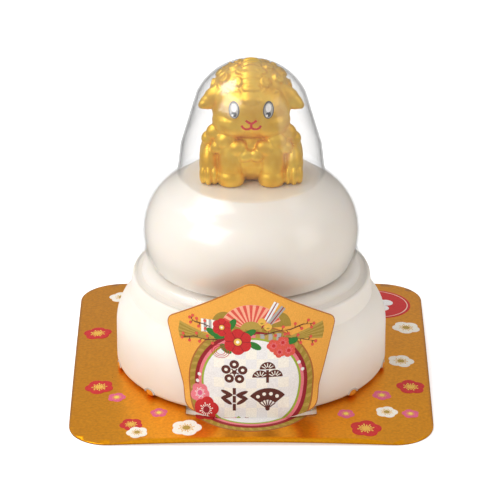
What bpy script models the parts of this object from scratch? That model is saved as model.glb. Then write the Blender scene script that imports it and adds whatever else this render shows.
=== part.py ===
"""New Year rice-cake pack: two stacked cakes on a folded gold card, with a
clear cover that holds a small sheep figure on top.

The frame is +Z up with the origin at the bottom centre of the whole, the
front towards -Y. Sizes are in metres; the constants below are in millimetres
times MM.
"""
import math

import bmesh
import bpy
from mathutils import Matrix, Vector

MM = 0.001

# The card
CARD_WIDTH = 114.6 * MM
CARD_DEPTH = 117.8 * MM
CARD_CORNER_RADIUS = 13.0 * MM
CARD_THICKNESS = 0.5 * MM
CARD_TOP = 2.7 * MM
CARD_DROOP = CARD_TOP - CARD_THICKNESS
DROOP_START = 43.5 * MM
DROOP_END = 77.0 * MM
HOLE_RADIUS = 39.0 * MM
CAKE_FORWARD = 0.7 * MM

# The flap, cut out of the card's hole and folded up in front
FOLD_HALF = 10.6 * MM
FLAP_BOTTOM_HALF = 20.6 * MM
FLAP_BOTTOM_RISE = 3.25 * MM
FLAP_SHOULDER_HALF = 28.6 * MM
FLAP_SHOULDER_RISE = 31.3 * MM
FLAP_HEIGHT = 46.9 * MM
FLAP_ROUNDING = 2.4 * MM
CORNER_STEPS = 3
CURL_LENGTH = 10.0 * MM
FLAP_CUT_STEP = 4.6 * MM
FOLD_CUTS = 3
RING_SHARES = (0.0, 0.35, 0.7, 1.0)
COARSE_ANGLE = math.radians(6.5)
FINE_ANGLE = math.radians(2.4)
CORNER_SPREAD = math.radians(11.0)

# The lower cake: foot, neck in the card's hole, rounded body, shoulder, ledge
LOWER_RADIUS = 43.5 * MM
FOOT_RADIUS = 42.5 * MM
FOOT_THICKNESS = 1.9 * MM
NECK_RADIUS = 38.4 * MM
NECK_TOP = 3.05 * MM
LOWER_ROUNDING = 1.8 * MM
LOWER_SIDE_BOTTOM = NECK_TOP + LOWER_ROUNDING
LOWER_SIDE_TOP = 18.0 * MM
SHOULDER_ROUNDING = 12.0 * MM
SHOULDER_SLOPE = math.radians(24.0)
RIM_RADIUS = 37.4 * MM
RIM_HEIGHT = 33.8 * MM

# The lugs that hold the card down
LUG_ANGLES = (48.0, 78.0, 108.0, 138.0)
LUG_RADIUS = 42.9 * MM
LUG_HEIGHT = 4.15 * MM
LUG_HALF_SIZE = (1.5 * MM, 2.1 * MM, 1.05 * MM)

# The clear cover: skirt, bulge over the upper cake, dome over the figure
WALL = 0.6 * MM
CONTACT_GAP = 0.35 * MM
BULGE_CENTRE_RADIUS = 21.5 * MM
BULGE_HEIGHT = 48.0 * MM
BULGE_WIDTH = 13.45 * MM
BULGE_RISE = 17.3 * MM
BULGE_START = math.radians(61.0)
BULGE_END = math.radians(-32.0)
JOINT_RADIUS = 23.6 * MM
JOINT_HEIGHT = 67.3 * MM
CONE_BOTTOM_RADIUS = 22.4 * MM
CONE_BOTTOM_HEIGHT = 77.5 * MM
DOME_RADIUS = 19.3 * MM
DOME_CENTRE = 86.2 * MM
DOME_EDGE = math.radians(25.6)
SKIRT_SHOULDER_RADIUS = 33.9 * MM
SKIRT_SHOULDER_HEIGHT = 38.0 * MM

# The upper cake
TABLE_HEIGHT = 66.5 * MM

# The sheep's trunk, the first of its rounded forms
SHEEP_TRUNK_PLACE = (0.0, 1.0, 9.0)
SHEEP_TRUNK_RADII = (12.6 * MM, 10.4 * MM, 10.6 * MM)
TRIM_SIZE = 40.0 * MM

# The flap's printed face stands just clear of the lower cake
FLAP_FACE = LOWER_RADIUS + CONTACT_GAP + CARD_THICKNESS

ROUND_STEPS = 40
BULGE_STEPS = 7
DOME_STEPS = 4
SKIRT_STEPS = 3
ROUNDING_STEPS = 3
CURL_STEPS = 4
EDGE_SEARCH_STEPS = 40
MERGE_DISTANCE = 1e-6
SHADING_ANGLE = math.radians(35.0)
SHEEP_SHADING_ANGLE = math.radians(50.0)


def clear_objects():
    """Remove every object from the scene."""
    for item in list(bpy.data.objects):
        bpy.data.objects.remove(item, do_unlink=True)


def make_material(name, colour, roughness, metallic=0.0, transmission=0.0):
    """Return a Principled BSDF material."""
    material = bpy.data.materials.new(name)
    material.use_nodes = True
    shader = material.node_tree.nodes["Principled BSDF"]
    shader.inputs["Base Color"].default_value = (*colour, 1.0)
    shader.inputs["Roughness"].default_value = roughness
    shader.inputs["Metallic"].default_value = metallic
    shader.inputs["Transmission Weight"].default_value = transmission
    return material


def object_from_bmesh(name, mesh_data, material, collection=None):
    """Write a bmesh to a new object with one material."""
    mesh = bpy.data.meshes.new(name)
    mesh_data.to_mesh(mesh)
    mesh_data.free()
    if material is not None:
        mesh.materials.append(material)
    item = bpy.data.objects.new(name, mesh)
    target = collection or bpy.context.scene.collection
    target.objects.link(item)
    return item


def shade_round(item, angle=SHADING_ANGLE):
    """Shade an object smooth apart from its sharp edges."""
    item.data.shade_smooth()
    item.data.set_sharp_from_angle(angle=angle)


def arc(centre, radii, start, end, steps):
    """Return the points of an elliptical arc, both ends included."""
    points = []
    for step in range(steps + 1):
        angle = start + (end - start) * step / steps
        points.append((centre[0] + radii[0] * math.cos(angle),
                       centre[1] + radii[1] * math.sin(angle)))
    return points


def inset_profile(points, distance):
    """Move a profile that runs down its outer side inwards by a distance."""
    moved = []
    last = len(points) - 1
    for index, point in enumerate(points):
        before = Vector(points[max(index - 1, 0)])
        after = Vector(points[min(index + 1, last)])
        here = Vector(point)
        if index == 0:
            directions = [(after - here).normalized()]
        elif index == last:
            directions = [(here - before).normalized()]
        else:
            directions = [(here - before).normalized(), (after - here).normalized()]
        normals = [Vector((step.y, -step.x)) for step in directions]
        mean = sum(normals, Vector((0.0, 0.0))).normalized()
        reach = distance / max(mean.dot(normals[0]), 0.5)
        moved.append((max(here.x + mean.x * reach, 0.0), here.y + mean.y * reach))
    return moved


def turned(name, outline, material):
    """Turn an outline of (radius, height) points about the cakes' axis."""
    mesh_data = bmesh.new()
    corners = [mesh_data.verts.new((radius, 0.0, height)) for radius, height in outline]
    edges = [mesh_data.edges.new(pair) for pair in zip(corners, corners[1:])]
    bmesh.ops.spin(mesh_data, geom=corners + edges, cent=(0, 0, 0), axis=(0, 0, 1),
                   angle=math.tau, steps=ROUND_STEPS, use_merge=True)
    bmesh.ops.remove_doubles(mesh_data, verts=mesh_data.verts, dist=MERGE_DISTANCE)
    bmesh.ops.recalc_face_normals(mesh_data, faces=mesh_data.faces)
    bmesh.ops.translate(mesh_data, verts=mesh_data.verts, vec=(0, -CAKE_FORWARD, 0))
    item = object_from_bmesh(name, mesh_data, material)
    shade_round(item)
    return item


def bulge_outline():
    """Return the cover's outer line from the dome's joint to the waist."""
    return [(JOINT_RADIUS, JOINT_HEIGHT)] + arc(
        (BULGE_CENTRE_RADIUS, BULGE_HEIGHT), (BULGE_WIDTH, BULGE_RISE),
        BULGE_START, BULGE_END, BULGE_STEPS)


def skirt_outline():
    """Return the cover's outer line from below the waist to the rim."""
    centre = (SKIRT_SHOULDER_RADIUS, RIM_HEIGHT)
    radii = (RIM_RADIUS - SKIRT_SHOULDER_RADIUS, SKIRT_SHOULDER_HEIGHT - RIM_HEIGHT)
    return arc(centre, radii, math.radians(90.0), 0.0, SKIRT_STEPS)


def build_cover(material):
    """Build the clear cover, a thin shell that is open at its rim."""
    dome = arc((0.0, DOME_CENTRE), (DOME_RADIUS, DOME_RADIUS),
               math.radians(90.0), DOME_EDGE, DOME_STEPS)
    outer = dome + [(CONE_BOTTOM_RADIUS, CONE_BOTTOM_HEIGHT)]
    outer += bulge_outline() + skirt_outline()
    outer[0] = (0.0, outer[0][1])
    inner = inset_profile(outer, WALL)
    inner[0] = (0.0, outer[0][1] - WALL)
    return turned("clear_cover", outer + inner[::-1], material)


def build_upper_cake(material):
    """Build the upper cake, which fills the cover's bulge."""
    side = inset_profile(bulge_outline(), WALL + CONTACT_GAP)
    side = [point for point in side if point[1] < TABLE_HEIGHT]
    bottom = SKIRT_SHOULDER_HEIGHT - WALL + CONTACT_GAP
    outline = [(0.0, TABLE_HEIGHT), (JOINT_RADIUS - WALL - 2 * CONTACT_GAP, TABLE_HEIGHT)]
    outline += side
    outline += [(side[-1][0] - CONTACT_GAP, bottom), (0.0, bottom)]
    return turned("upper_cake", outline, material)


def build_lower_cake(material):
    """Build the lower cake with its foot, neck, shoulder and the lugs."""
    seat_height = RIM_HEIGHT - CONTACT_GAP
    bead = arc((LOWER_RADIUS - SHOULDER_ROUNDING, LOWER_SIDE_TOP),
               (SHOULDER_ROUNDING, SHOULDER_ROUNDING),
               SHOULDER_SLOPE, 0.0, SKIRT_STEPS)
    rounding = arc((LOWER_RADIUS - LOWER_ROUNDING, LOWER_SIDE_BOTTOM),
                   (LOWER_ROUNDING, LOWER_ROUNDING), 0.0, math.radians(-90.0), ROUNDING_STEPS)
    under_skirt = inset_profile(skirt_outline(), WALL + CONTACT_GAP)
    shelf = SKIRT_SHOULDER_HEIGHT - WALL - CONTACT_GAP
    outline = [(0.0, shelf)]
    outline += [point for point in under_skirt if point[1] > seat_height]
    outline += [(under_skirt[-1][0], seat_height), (RIM_RADIUS + CONTACT_GAP, seat_height)]
    outline += bead + rounding
    outline += [(NECK_RADIUS, NECK_TOP), (NECK_RADIUS, FOOT_THICKNESS),
                (FOOT_RADIUS, FOOT_THICKNESS), (FOOT_RADIUS, 0.0), (0.0, 0.0)]
    cake = turned("lower_cake", outline, material)
    lugs = bpy.data.collections.new("lugs")
    bpy.context.scene.collection.children.link(lugs)
    for side in (-1, 1):
        for angle in LUG_ANGLES:
            make_lug(lugs, side * angle)
    join_all(cake, lugs)
    return cake


def make_lug(collection, angle):
    """Add one rounded lug, at an angle in degrees from the front."""
    turn = math.radians(angle)
    place = Vector((LUG_RADIUS * math.sin(turn),
                    -LUG_RADIUS * math.cos(turn) - CAKE_FORWARD, LUG_HEIGHT))
    frame = Matrix.Translation(place) @ Matrix.Rotation(turn + math.radians(90.0), 4, "Z")
    blob(collection, "lug", frame, LUG_HALF_SIZE, 2)


def blob(collection, name, frame, radii, subdivisions):
    """Add a hidden ellipsoid, used to build up a larger solid."""
    mesh_data = bmesh.new()
    bmesh.ops.create_icosphere(mesh_data, subdivisions=subdivisions, radius=1.0)
    bmesh.ops.transform(mesh_data, matrix=frame @ Matrix.Diagonal((*radii, 1.0)),
                        verts=mesh_data.verts)
    item = object_from_bmesh(name, mesh_data, None, collection)
    item.hide_render = True
    item.display_type = "WIRE"
    return item


def join_all(item, collection):
    """Unite an object with every shape in a collection."""
    union = item.modifiers.new("union", "BOOLEAN")
    union.operation = "UNION"
    union.operand_type = "COLLECTION"
    union.collection = collection
    union.solver = "EXACT"


def droop(x, y):
    """Return how far the card has sunk at a place on it."""
    reach = (math.hypot(x, y) - DROOP_START) / (DROOP_END - DROOP_START)
    return CARD_DROOP * min(max(reach, 0.0), 1.0)


def fold_flap(across, length):
    """Stand a point of the flat flap up from its fold and curl it sideways."""
    share = min(length / CURL_LENGTH, 1.0)
    curl = share * share * (3.0 - 2.0 * share) / FLAP_FACE
    height = CARD_TOP - droop(across, -FLAP_FACE) * (1.0 - share) + length
    angle = across * curl
    forward = FLAP_FACE - (1.0 - math.cos(angle)) / curl
    return Vector((math.sin(angle) / curl, -forward, height))


def card_edge(angle):
    """Return where a ray from the cakes' axis meets the card's outline."""
    half = Vector((CARD_WIDTH / 2, CARD_DEPTH / 2))
    corner = half - Vector((CARD_CORNER_RADIUS, CARD_CORNER_RADIUS))
    start = Vector((0.0, -CAKE_FORWARD))
    ray = Vector((math.cos(angle), math.sin(angle)))
    near, far = 0.0, CARD_WIDTH
    for _ in range(EDGE_SEARCH_STEPS):
        middle = (near + far) / 2
        point = start + ray * middle
        out = Vector((max(abs(point.x) - corner.x, 0.0), max(abs(point.y) - corner.y, 0.0)))
        if out.length < CARD_CORNER_RADIUS:
            near = middle
        else:
            far = middle
    return near


def card_hole(angle):
    """Return the hole's radius at an angle.

    In front it is the fold, then the flap's two cut edges, then the circle.
    """
    depth = -math.sin(angle)
    across = abs(math.cos(angle))
    slope = FLAP_BOTTOM_RISE / (FLAP_BOTTOM_HALF - FOLD_HALF)
    cut_end = FLAP_FACE - FLAP_BOTTOM_RISE
    if depth * FOLD_HALF >= across * FLAP_FACE - MERGE_DISTANCE:
        return FLAP_FACE / depth
    if depth * FLAP_BOTTOM_HALF >= across * cut_end - MERGE_DISTANCE:
        return (FLAP_FACE + slope * FOLD_HALF) / (depth + slope * across)
    return HOLE_RADIUS


def card_angles():
    """Return the angles of the card's rays, from the fold's left end round.

    The rays are closer together at the card's four corners.
    """
    fold = math.atan2(FOLD_HALF, FLAP_FACE)
    front = math.radians(-90.0)
    angles = [front + fold * (step - FOLD_CUTS) / FOLD_CUTS for step in range(2 * FOLD_CUTS)]
    corners = [math.atan2(sign * CARD_DEPTH / 2 + CAKE_FORWARD, CARD_WIDTH / 2)
               for sign in (-1, 1)]
    angle = front + fold
    while angle < front - fold + math.tau - FINE_ANGLE / 2:
        angles.append(angle)
        level = math.atan2(math.sin(angle), abs(math.cos(angle)))
        near_corner = min(abs(level - corner) for corner in corners) < CORNER_SPREAD
        angle += FINE_ANGLE if near_corner else COARSE_ANGLE
    return angles


def rounded_corners(corners, radius, steps):
    """Round the corners of a closed outline."""
    outline = []
    count = len(corners)
    for index, corner in enumerate(corners):
        here = Vector(corner)
        back = (Vector(corners[index - 1]) - here).normalized()
        ahead = (Vector(corners[(index + 1) % count]) - here).normalized()
        for step in range(steps + 1):
            share = step / steps
            start = here + back * radius
            end = here + ahead * radius
            outline.append(start * (1 - share) ** 2 + here * 2 * share * (1 - share)
                           + end * share ** 2)
    return outline


def flap_outline():
    """Return the flat flap's outline of (across, length), without its fold."""
    corners = [(FLAP_BOTTOM_HALF, FLAP_BOTTOM_RISE), (FLAP_SHOULDER_HALF, FLAP_SHOULDER_RISE),
               (0.0, FLAP_HEIGHT), (-FLAP_SHOULDER_HALF, FLAP_SHOULDER_RISE),
               (-FLAP_BOTTOM_HALF, FLAP_BOTTOM_RISE)]
    return [tuple(point) for point in rounded_corners(corners, FLAP_ROUNDING, CORNER_STEPS)]


def add_card_rings(mesh_data):
    """Add the card's base round its hole and return the fold's vertices."""
    angles = card_angles()
    rings = []
    for share in RING_SHARES:
        ring = []
        for angle in angles:
            reach = card_hole(angle) * (1 - share) + card_edge(angle) * share
            x, y = reach * math.cos(angle), reach * math.sin(angle)
            ring.append(mesh_data.verts.new((x, y, CARD_TOP - droop(x, y))))
        rings.append(ring)
    for inner, outer in zip(rings, rings[1:]):
        for index in range(len(angles)):
            after = (index + 1) % len(angles)
            mesh_data.faces.new((inner[index], outer[index], outer[after], inner[after]))
    return rings[0][:2 * FOLD_CUTS + 1]


def flap_cuts(fold):
    """Return the planes that cut the flat flap where it will bend."""
    cuts = [((vert.co.x, 0, 0), (1, 0, 0)) for vert in fold[1:-1]]
    across = FOLD_HALF
    while across < FLAP_SHOULDER_HALF:
        cuts += [((across, 0, 0), (1, 0, 0)), ((-across, 0, 0), (1, 0, 0))]
        across += FLAP_CUT_STEP
    for step in range(1, CURL_STEPS + 1):
        length = CURL_LENGTH * step / CURL_STEPS
        cuts.append(((0, length - FLAP_FACE, 0), (0, 1, 0)))
    return cuts


def add_flap(mesh_data, fold):
    """Add the flap in the hole, hinged on the fold, and bend it up."""
    outline = [mesh_data.verts.new((across, length - FLAP_FACE, CARD_TOP))
               for across, length in flap_outline()]
    faces = [mesh_data.faces.new(list(fold) + outline)]
    for place, normal in flap_cuts(fold):
        geometry = set(faces)
        for face in faces:
            geometry.update(face.edges)
            geometry.update(face.verts)
        cut = bmesh.ops.bisect_plane(mesh_data, geom=list(geometry), dist=MERGE_DISTANCE,
                                     plane_co=place, plane_no=normal)
        faces = [part for part in cut["geom"] if isinstance(part, bmesh.types.BMFace)]
    for vert in {vert for face in faces for vert in face.verts}:
        length = vert.co.y + FLAP_FACE
        if length > MERGE_DISTANCE:
            vert.co = fold_flap(vert.co.x, length)


def build_card(material):
    """Build the card: the drooping base with its hole, and the folded flap."""
    mesh_data = bmesh.new()
    add_flap(mesh_data, add_card_rings(mesh_data))
    many_sided = [face for face in mesh_data.faces if len(face.verts) > 4]
    bmesh.ops.triangulate(mesh_data, faces=many_sided)
    bmesh.ops.translate(mesh_data, verts=mesh_data.verts, vec=(0, -CAKE_FORWARD, 0))
    card = object_from_bmesh("base_card", mesh_data, material)
    shell = card.modifiers.new("thickness", "SOLIDIFY")
    shell.thickness = CARD_THICKNESS
    shell.offset = -1.0
    return card


def ellipsoid_frame(place, tilt=(0.0, 0.0, 0.0)):
    """Return the placing of one of the sheep's rounded forms."""
    frame = Matrix.Translation(Vector(place) * MM + Vector((0, -CAKE_FORWARD, TABLE_HEIGHT)))
    for axis, degrees in zip("ZYX", reversed(tilt)):
        frame = frame @ Matrix.Rotation(math.radians(degrees), 4, axis)
    return frame


def sheep_shapes():
    """Return the sheep's rounded forms as (place, radii, tilt, fineness).

    Places are in millimetres from the cakes' axis and the sheep's base, and
    the tilts are degrees about X, Y and Z.
    """
    middle = [
        ((0.0, -1.6, 24.2), (11.7, 9.4, 10.8), (0, 0, 0), 3),
        ((0.0, 2.7, 28.3), (12.5, 11.2, 8.7), (0, 0, 0), 3),
        ((0.0, -7.2, 32.4), (4.2, 3.2, 3.0), (0, 0, 0), 2),
        ((0.0, -5.6, 11.8), (7.6, 4.6, 5.4), (0, 0, 0), 2),
        ((0.0, 11.2, 8.6), (2.6, 2.6, 3.2), (0, 0, 0), 2),
    ]
    paired = [
        ((12.2, -1.4, 26.8), (4.8, 2.0, 3.2), (0, 22, 8), 2),
        ((11.6, 1.6, 6.2), (4.9, 8.0, 8.2), (0, 0, 0), 2),
        ((13.0, -4.6, 3.6), (3.4, 4.4, 5.0), (0, 0, 0), 2),
        ((6.8, -5.8, 5.2), (4.7, 4.6, 10.6), (0, 0, 0), 2),
        ((9.6, -3.6, 14.2), (4.4, 4.4, 4.4), (0, 0, 0), 2),
        ((12.9, 1.2, 12.6), (3.7, 4.8, 4.0), (0, 0, 0), 2),
    ]
    shapes = list(middle)
    for place, radii, tilt, fineness in paired:
        for side in (-1, 1):
            shapes.append(((side * place[0], place[1], place[2]), radii,
                           (tilt[0], side * tilt[1], side * tilt[2]), fineness))
    return shapes


def build_sheep(material):
    """Build the seated sheep as one solid with a flat base."""
    parts = bpy.data.collections.new("sheep_parts")
    bpy.context.scene.collection.children.link(parts)
    mesh_data = bmesh.new()
    bmesh.ops.create_icosphere(mesh_data, subdivisions=3, radius=1.0)
    trunk = ellipsoid_frame(SHEEP_TRUNK_PLACE) @ Matrix.Diagonal((*SHEEP_TRUNK_RADII, 1.0))
    bmesh.ops.transform(mesh_data, matrix=trunk, verts=mesh_data.verts)
    sheep = object_from_bmesh("sheep_figure", mesh_data, material)
    for place, radii, tilt, fineness in sheep_shapes():
        blob(parts, "sheep_shape", ellipsoid_frame(place, tilt),
             [radius * MM for radius in radii], fineness)
    join_all(sheep, parts)
    trim = bmesh.new()
    bmesh.ops.create_cube(trim, size=TRIM_SIZE)
    bmesh.ops.translate(trim, verts=trim.verts,
                        vec=(0, -CAKE_FORWARD, TABLE_HEIGHT + CONTACT_GAP - TRIM_SIZE / 2))
    cutter = object_from_bmesh("base_trim", trim, None)
    cutter.hide_render = True
    cutter.display_type = "WIRE"
    cut = sheep.modifiers.new("flat_base", "BOOLEAN")
    cut.operation = "DIFFERENCE"
    cut.object = cutter
    cut.solver = "EXACT"
    shade_round(sheep, SHEEP_SHADING_ANGLE)
    return sheep


def main():
    """Build every piece of the pack."""
    clear_objects()
    gold_card = make_material("gold_card", (0.80, 0.42, 0.06), 0.32, metallic=0.9)
    rice_cake = make_material("rice_cake", (0.93, 0.90, 0.84), 0.35)
    clear_plastic = make_material("clear_plastic", (0.97, 0.98, 0.98), 0.04, transmission=0.95)
    gold_figure = make_material("gold_figure", (0.83, 0.55, 0.14), 0.28, metallic=1.0)
    build_card(gold_card)
    build_lower_cake(rice_cake)
    build_upper_cake(rice_cake)
    build_cover(clear_plastic)
    build_sheep(gold_figure)


main()
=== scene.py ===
"""Dresses a New Year rice-cake pack: two stacked cakes on a folded gold card,
with a clear cover that holds a gold sheep figure on top.

Every size is in millimetres from the cakes' axis and the table, with -Y to
the front, until a piece is finished and written out in metres.
"""
import logging
import math
from dataclasses import dataclass
from enum import Enum
from typing import Callable, Protocol, Sequence

import bmesh
import bpy
from mathutils import Matrix, Vector
from mathutils.bvhtree import BVHTree


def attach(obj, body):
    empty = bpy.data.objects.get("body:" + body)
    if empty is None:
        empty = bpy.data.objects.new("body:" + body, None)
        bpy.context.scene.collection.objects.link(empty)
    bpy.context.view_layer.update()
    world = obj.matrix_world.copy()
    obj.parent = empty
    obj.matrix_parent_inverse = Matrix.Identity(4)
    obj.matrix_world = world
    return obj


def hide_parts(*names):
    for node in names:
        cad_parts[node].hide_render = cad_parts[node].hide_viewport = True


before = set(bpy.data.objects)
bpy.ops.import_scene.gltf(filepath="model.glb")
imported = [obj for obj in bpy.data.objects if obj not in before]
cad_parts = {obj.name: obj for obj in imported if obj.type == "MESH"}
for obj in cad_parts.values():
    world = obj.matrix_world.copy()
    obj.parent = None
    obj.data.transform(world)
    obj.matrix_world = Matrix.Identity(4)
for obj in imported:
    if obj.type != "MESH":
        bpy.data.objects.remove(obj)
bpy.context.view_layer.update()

LOG = logging.getLogger("rice_cake_pack")

# One millimetre in metres. The other three lengths are in millimetres.
MM = 0.001
# How far the cakes' axis stands in front of the pack's middle.
CAKE_FORWARD = 0.7
# The height of one layer of ink.
LAYER = 0.04
# How near two places count as one.
CLOSE = 0.001

Point = tuple[float, float]
Colour = tuple[float, float, float]
Place = tuple[float, float, float]
Plane = tuple[Vector, Vector]
Socket = bpy.types.NodeSocket
Element = bmesh.types.BMVert | bmesh.types.BMEdge | bmesh.types.BMFace


# ---------------------------------------------------------------- finishes

class NodeBench:
    """A material's nodes, with short calls to add and join them."""

    def __init__(self, name: str) -> None:
        """Starts a material with its shader and object coordinates.

        Args:
            name: The material's name.
        """
        self.material = bpy.data.materials.new(name)
        self.material.use_nodes = True
        self.nodes = self.material.node_tree.nodes
        self.links = self.material.node_tree.links
        self.shader = self.nodes["Principled BSDF"]
        self.coordinates = self.nodes.new("ShaderNodeTexCoord").outputs["Object"]

    def settle(self, values: dict[str, object]) -> None:
        """Sets the shader's own sockets."""
        for socket, value in values.items():
            self.shader.inputs[socket].default_value = value

    def noise(self, size: float, detail: float = 3.0) -> Socket:
        """Adds noise.

        Args:
            size: The width of its patches, in millimetres.
            detail: How many finer steps it has.

        Returns:
            The noise's strength, from 0 to 1.
        """
        texture = self.nodes.new("ShaderNodeTexNoise")
        texture.inputs["Scale"].default_value = 1.0 / (size * MM)
        texture.inputs["Detail"].default_value = detail
        self.links.new(self.coordinates, texture.inputs["Vector"])
        return texture.outputs["Fac"]

    def blend(self, share: Socket, low: Colour, high: Colour,
              start: float = 0.3, end: float = 0.7) -> Socket:
        """Adds a ramp between two colours.

        Args:
            share: What the ramp reads.
            low: The colour at the start.
            high: The colour at the end.
            start: Where the ramp begins.
            end: Where it stops.

        Returns:
            The colour.
        """
        ramp = self.nodes.new("ShaderNodeValToRGB")
        ramp.color_ramp.elements[0].position = start
        ramp.color_ramp.elements[0].color = (*low, 1.0)
        ramp.color_ramp.elements[1].position = end
        ramp.color_ramp.elements[1].color = (*high, 1.0)
        self.links.new(share, ramp.inputs["Fac"])
        return ramp.outputs["Color"]

    def span(self, share: Socket, low: float, high: float) -> Socket:
        """Spreads a strength of 0 to 1 between two numbers.

        Args:
            share: The strength.
            low: What 0 becomes.
            high: What 1 becomes.

        Returns:
            The number.
        """
        spread = self.nodes.new("ShaderNodeMapRange")
        spread.inputs["To Min"].default_value = low
        spread.inputs["To Max"].default_value = high
        self.links.new(share, spread.inputs["Value"])
        return spread.outputs["Result"]

    def maths(self, operation: str, first: Socket, second: Socket | float) -> Socket:
        """Works out one sum from a pattern and another pattern or a number.

        Args:
            operation: The sum's name, as the Math node knows it.
            first: The first pattern.
            second: The second pattern, or a number.

        Returns:
            The result.
        """
        work = self.nodes.new("ShaderNodeMath")
        work.operation = operation
        self.links.new(first, work.inputs[0])
        if isinstance(second, float):
            work.inputs[1].default_value = second
        else:
            self.links.new(second, work.inputs[1])
        return work.outputs["Value"]

    def bump(self, height: Socket, depth: float, strength: float) -> None:
        """Roughens the surface by a height.

        Args:
            height: The pattern that gives the height, from 0 to 1.
            depth: How deep it is, in millimetres.
            strength: How much of it shows, from 0 to 1.
        """
        relief = self.nodes.new("ShaderNodeBump")
        relief.inputs["Distance"].default_value = depth * MM
        relief.inputs["Strength"].default_value = strength
        self.links.new(height, relief.inputs["Height"])
        self.links.new(relief.outputs["Normal"], self.shader.inputs["Normal"])

    def feed(self, source: Socket, socket: str) -> None:
        """Joins a pattern to one of the shader's sockets."""
        self.links.new(source, self.shader.inputs[socket])


@dataclass(frozen=True)
class RiceCakeSkin:
    """The milky skin that the rice cake is moulded in."""

    name: str
    low: Colour = (0.86, 0.79, 0.70)
    high: Colour = (0.92, 0.87, 0.80)
    gloss: Point = (0.42, 0.5)
    coat: float = 0.0
    cloud_size: float = 34.0
    ripple_size: float = 9.0
    grain_size: float = 2.2

    def material(self) -> bpy.types.Material:
        """Makes the material.

        Returns:
            The material.
        """
        bench = NodeBench(self.name)
        bench.settle({"Subsurface Weight": 0.35, "Subsurface Scale": 0.006,
                      "Subsurface Radius": (1.0, 0.75, 0.5),
                      "Coat Weight": self.coat, "Coat Roughness": 0.2})
        cloudy = bench.noise(self.cloud_size)
        bench.feed(bench.blend(cloudy, self.low, self.high), "Base Color")
        bench.feed(bench.span(bench.noise(self.ripple_size), *self.gloss), "Roughness")
        bench.bump(bench.noise(self.grain_size, detail=4.0), depth=0.06, strength=0.25)
        return bench.material


@dataclass(frozen=True)
class GoldFoil:
    """Satin gold foil on card."""

    name: str = "gold_foil"
    low: Colour = (0.78, 0.29, 0.004)
    high: Colour = (0.96, 0.39, 0.008)
    gloss: Point = (0.24, 0.38)
    fleck_size: float = 0.9
    ripple_size: float = 1.4
    grain_size: float = 0.35

    def material(self) -> bpy.types.Material:
        """Makes the material.

        Returns:
            The material.
        """
        bench = NodeBench(self.name)
        bench.settle({"Metallic": 0.94})
        flecks = bench.noise(self.fleck_size, detail=5.0)
        bench.feed(bench.blend(flecks, self.low, self.high), "Base Color")
        ripple = bench.noise(self.ripple_size, detail=5.0)
        bench.feed(bench.span(ripple, *self.gloss), "Roughness")
        bench.bump(bench.noise(self.grain_size, detail=2.0), depth=0.02, strength=0.2)
        return bench.material


@dataclass(frozen=True)
class GoldPaint:
    """Satin gold paint on a moulded figure."""

    name: str = "gold_paint"
    low: Colour = (0.90, 0.49, 0.035)
    high: Colour = (1.0, 0.67, 0.09)
    gloss: Point = (0.36, 0.44)
    cloud_size: float = 5.0
    ripple_size: float = 2.0
    grain_size: float = 0.3

    def material(self) -> bpy.types.Material:
        """Makes the material.

        Returns:
            The material.
        """
        bench = NodeBench(self.name)
        bench.settle({"Metallic": 0.72})
        cloudy = bench.noise(self.cloud_size)
        bench.feed(bench.blend(cloudy, self.low, self.high), "Base Color")
        ripple = bench.noise(self.ripple_size, detail=5.0)
        bench.feed(bench.span(ripple, *self.gloss), "Roughness")
        bench.bump(bench.noise(self.grain_size, detail=2.0), depth=0.015, strength=0.3)
        return bench.material


@dataclass(frozen=True)
class InkCoat:
    """One printed or painted colour."""

    name: str
    colour: Colour
    gloss: float = 0.42
    mottle_size: float = 0.35
    ripple_size: float = 0.8
    grain_size: float = 0.3

    def material(self) -> bpy.types.Material:
        """Makes the material, slightly uneven as thin ink is.

        Returns:
            The material.
        """
        bench = NodeBench(self.name)
        bench.settle({"Metallic": 0.0, "Specular IOR Level": 0.2})
        pale = tuple(min(part * 1.08 + 0.01, 1.0) for part in self.colour)
        deep = tuple(part * 0.9 for part in self.colour)
        mottle = bench.noise(self.mottle_size, detail=4.0)
        bench.feed(bench.blend(mottle, deep, pale), "Base Color")
        ripple = bench.noise(self.ripple_size)
        bench.feed(bench.span(ripple, self.gloss - 0.06, self.gloss + 0.08), "Roughness")
        bench.bump(bench.noise(self.grain_size, detail=2.0), depth=0.01, strength=0.25)
        return bench.material


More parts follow.
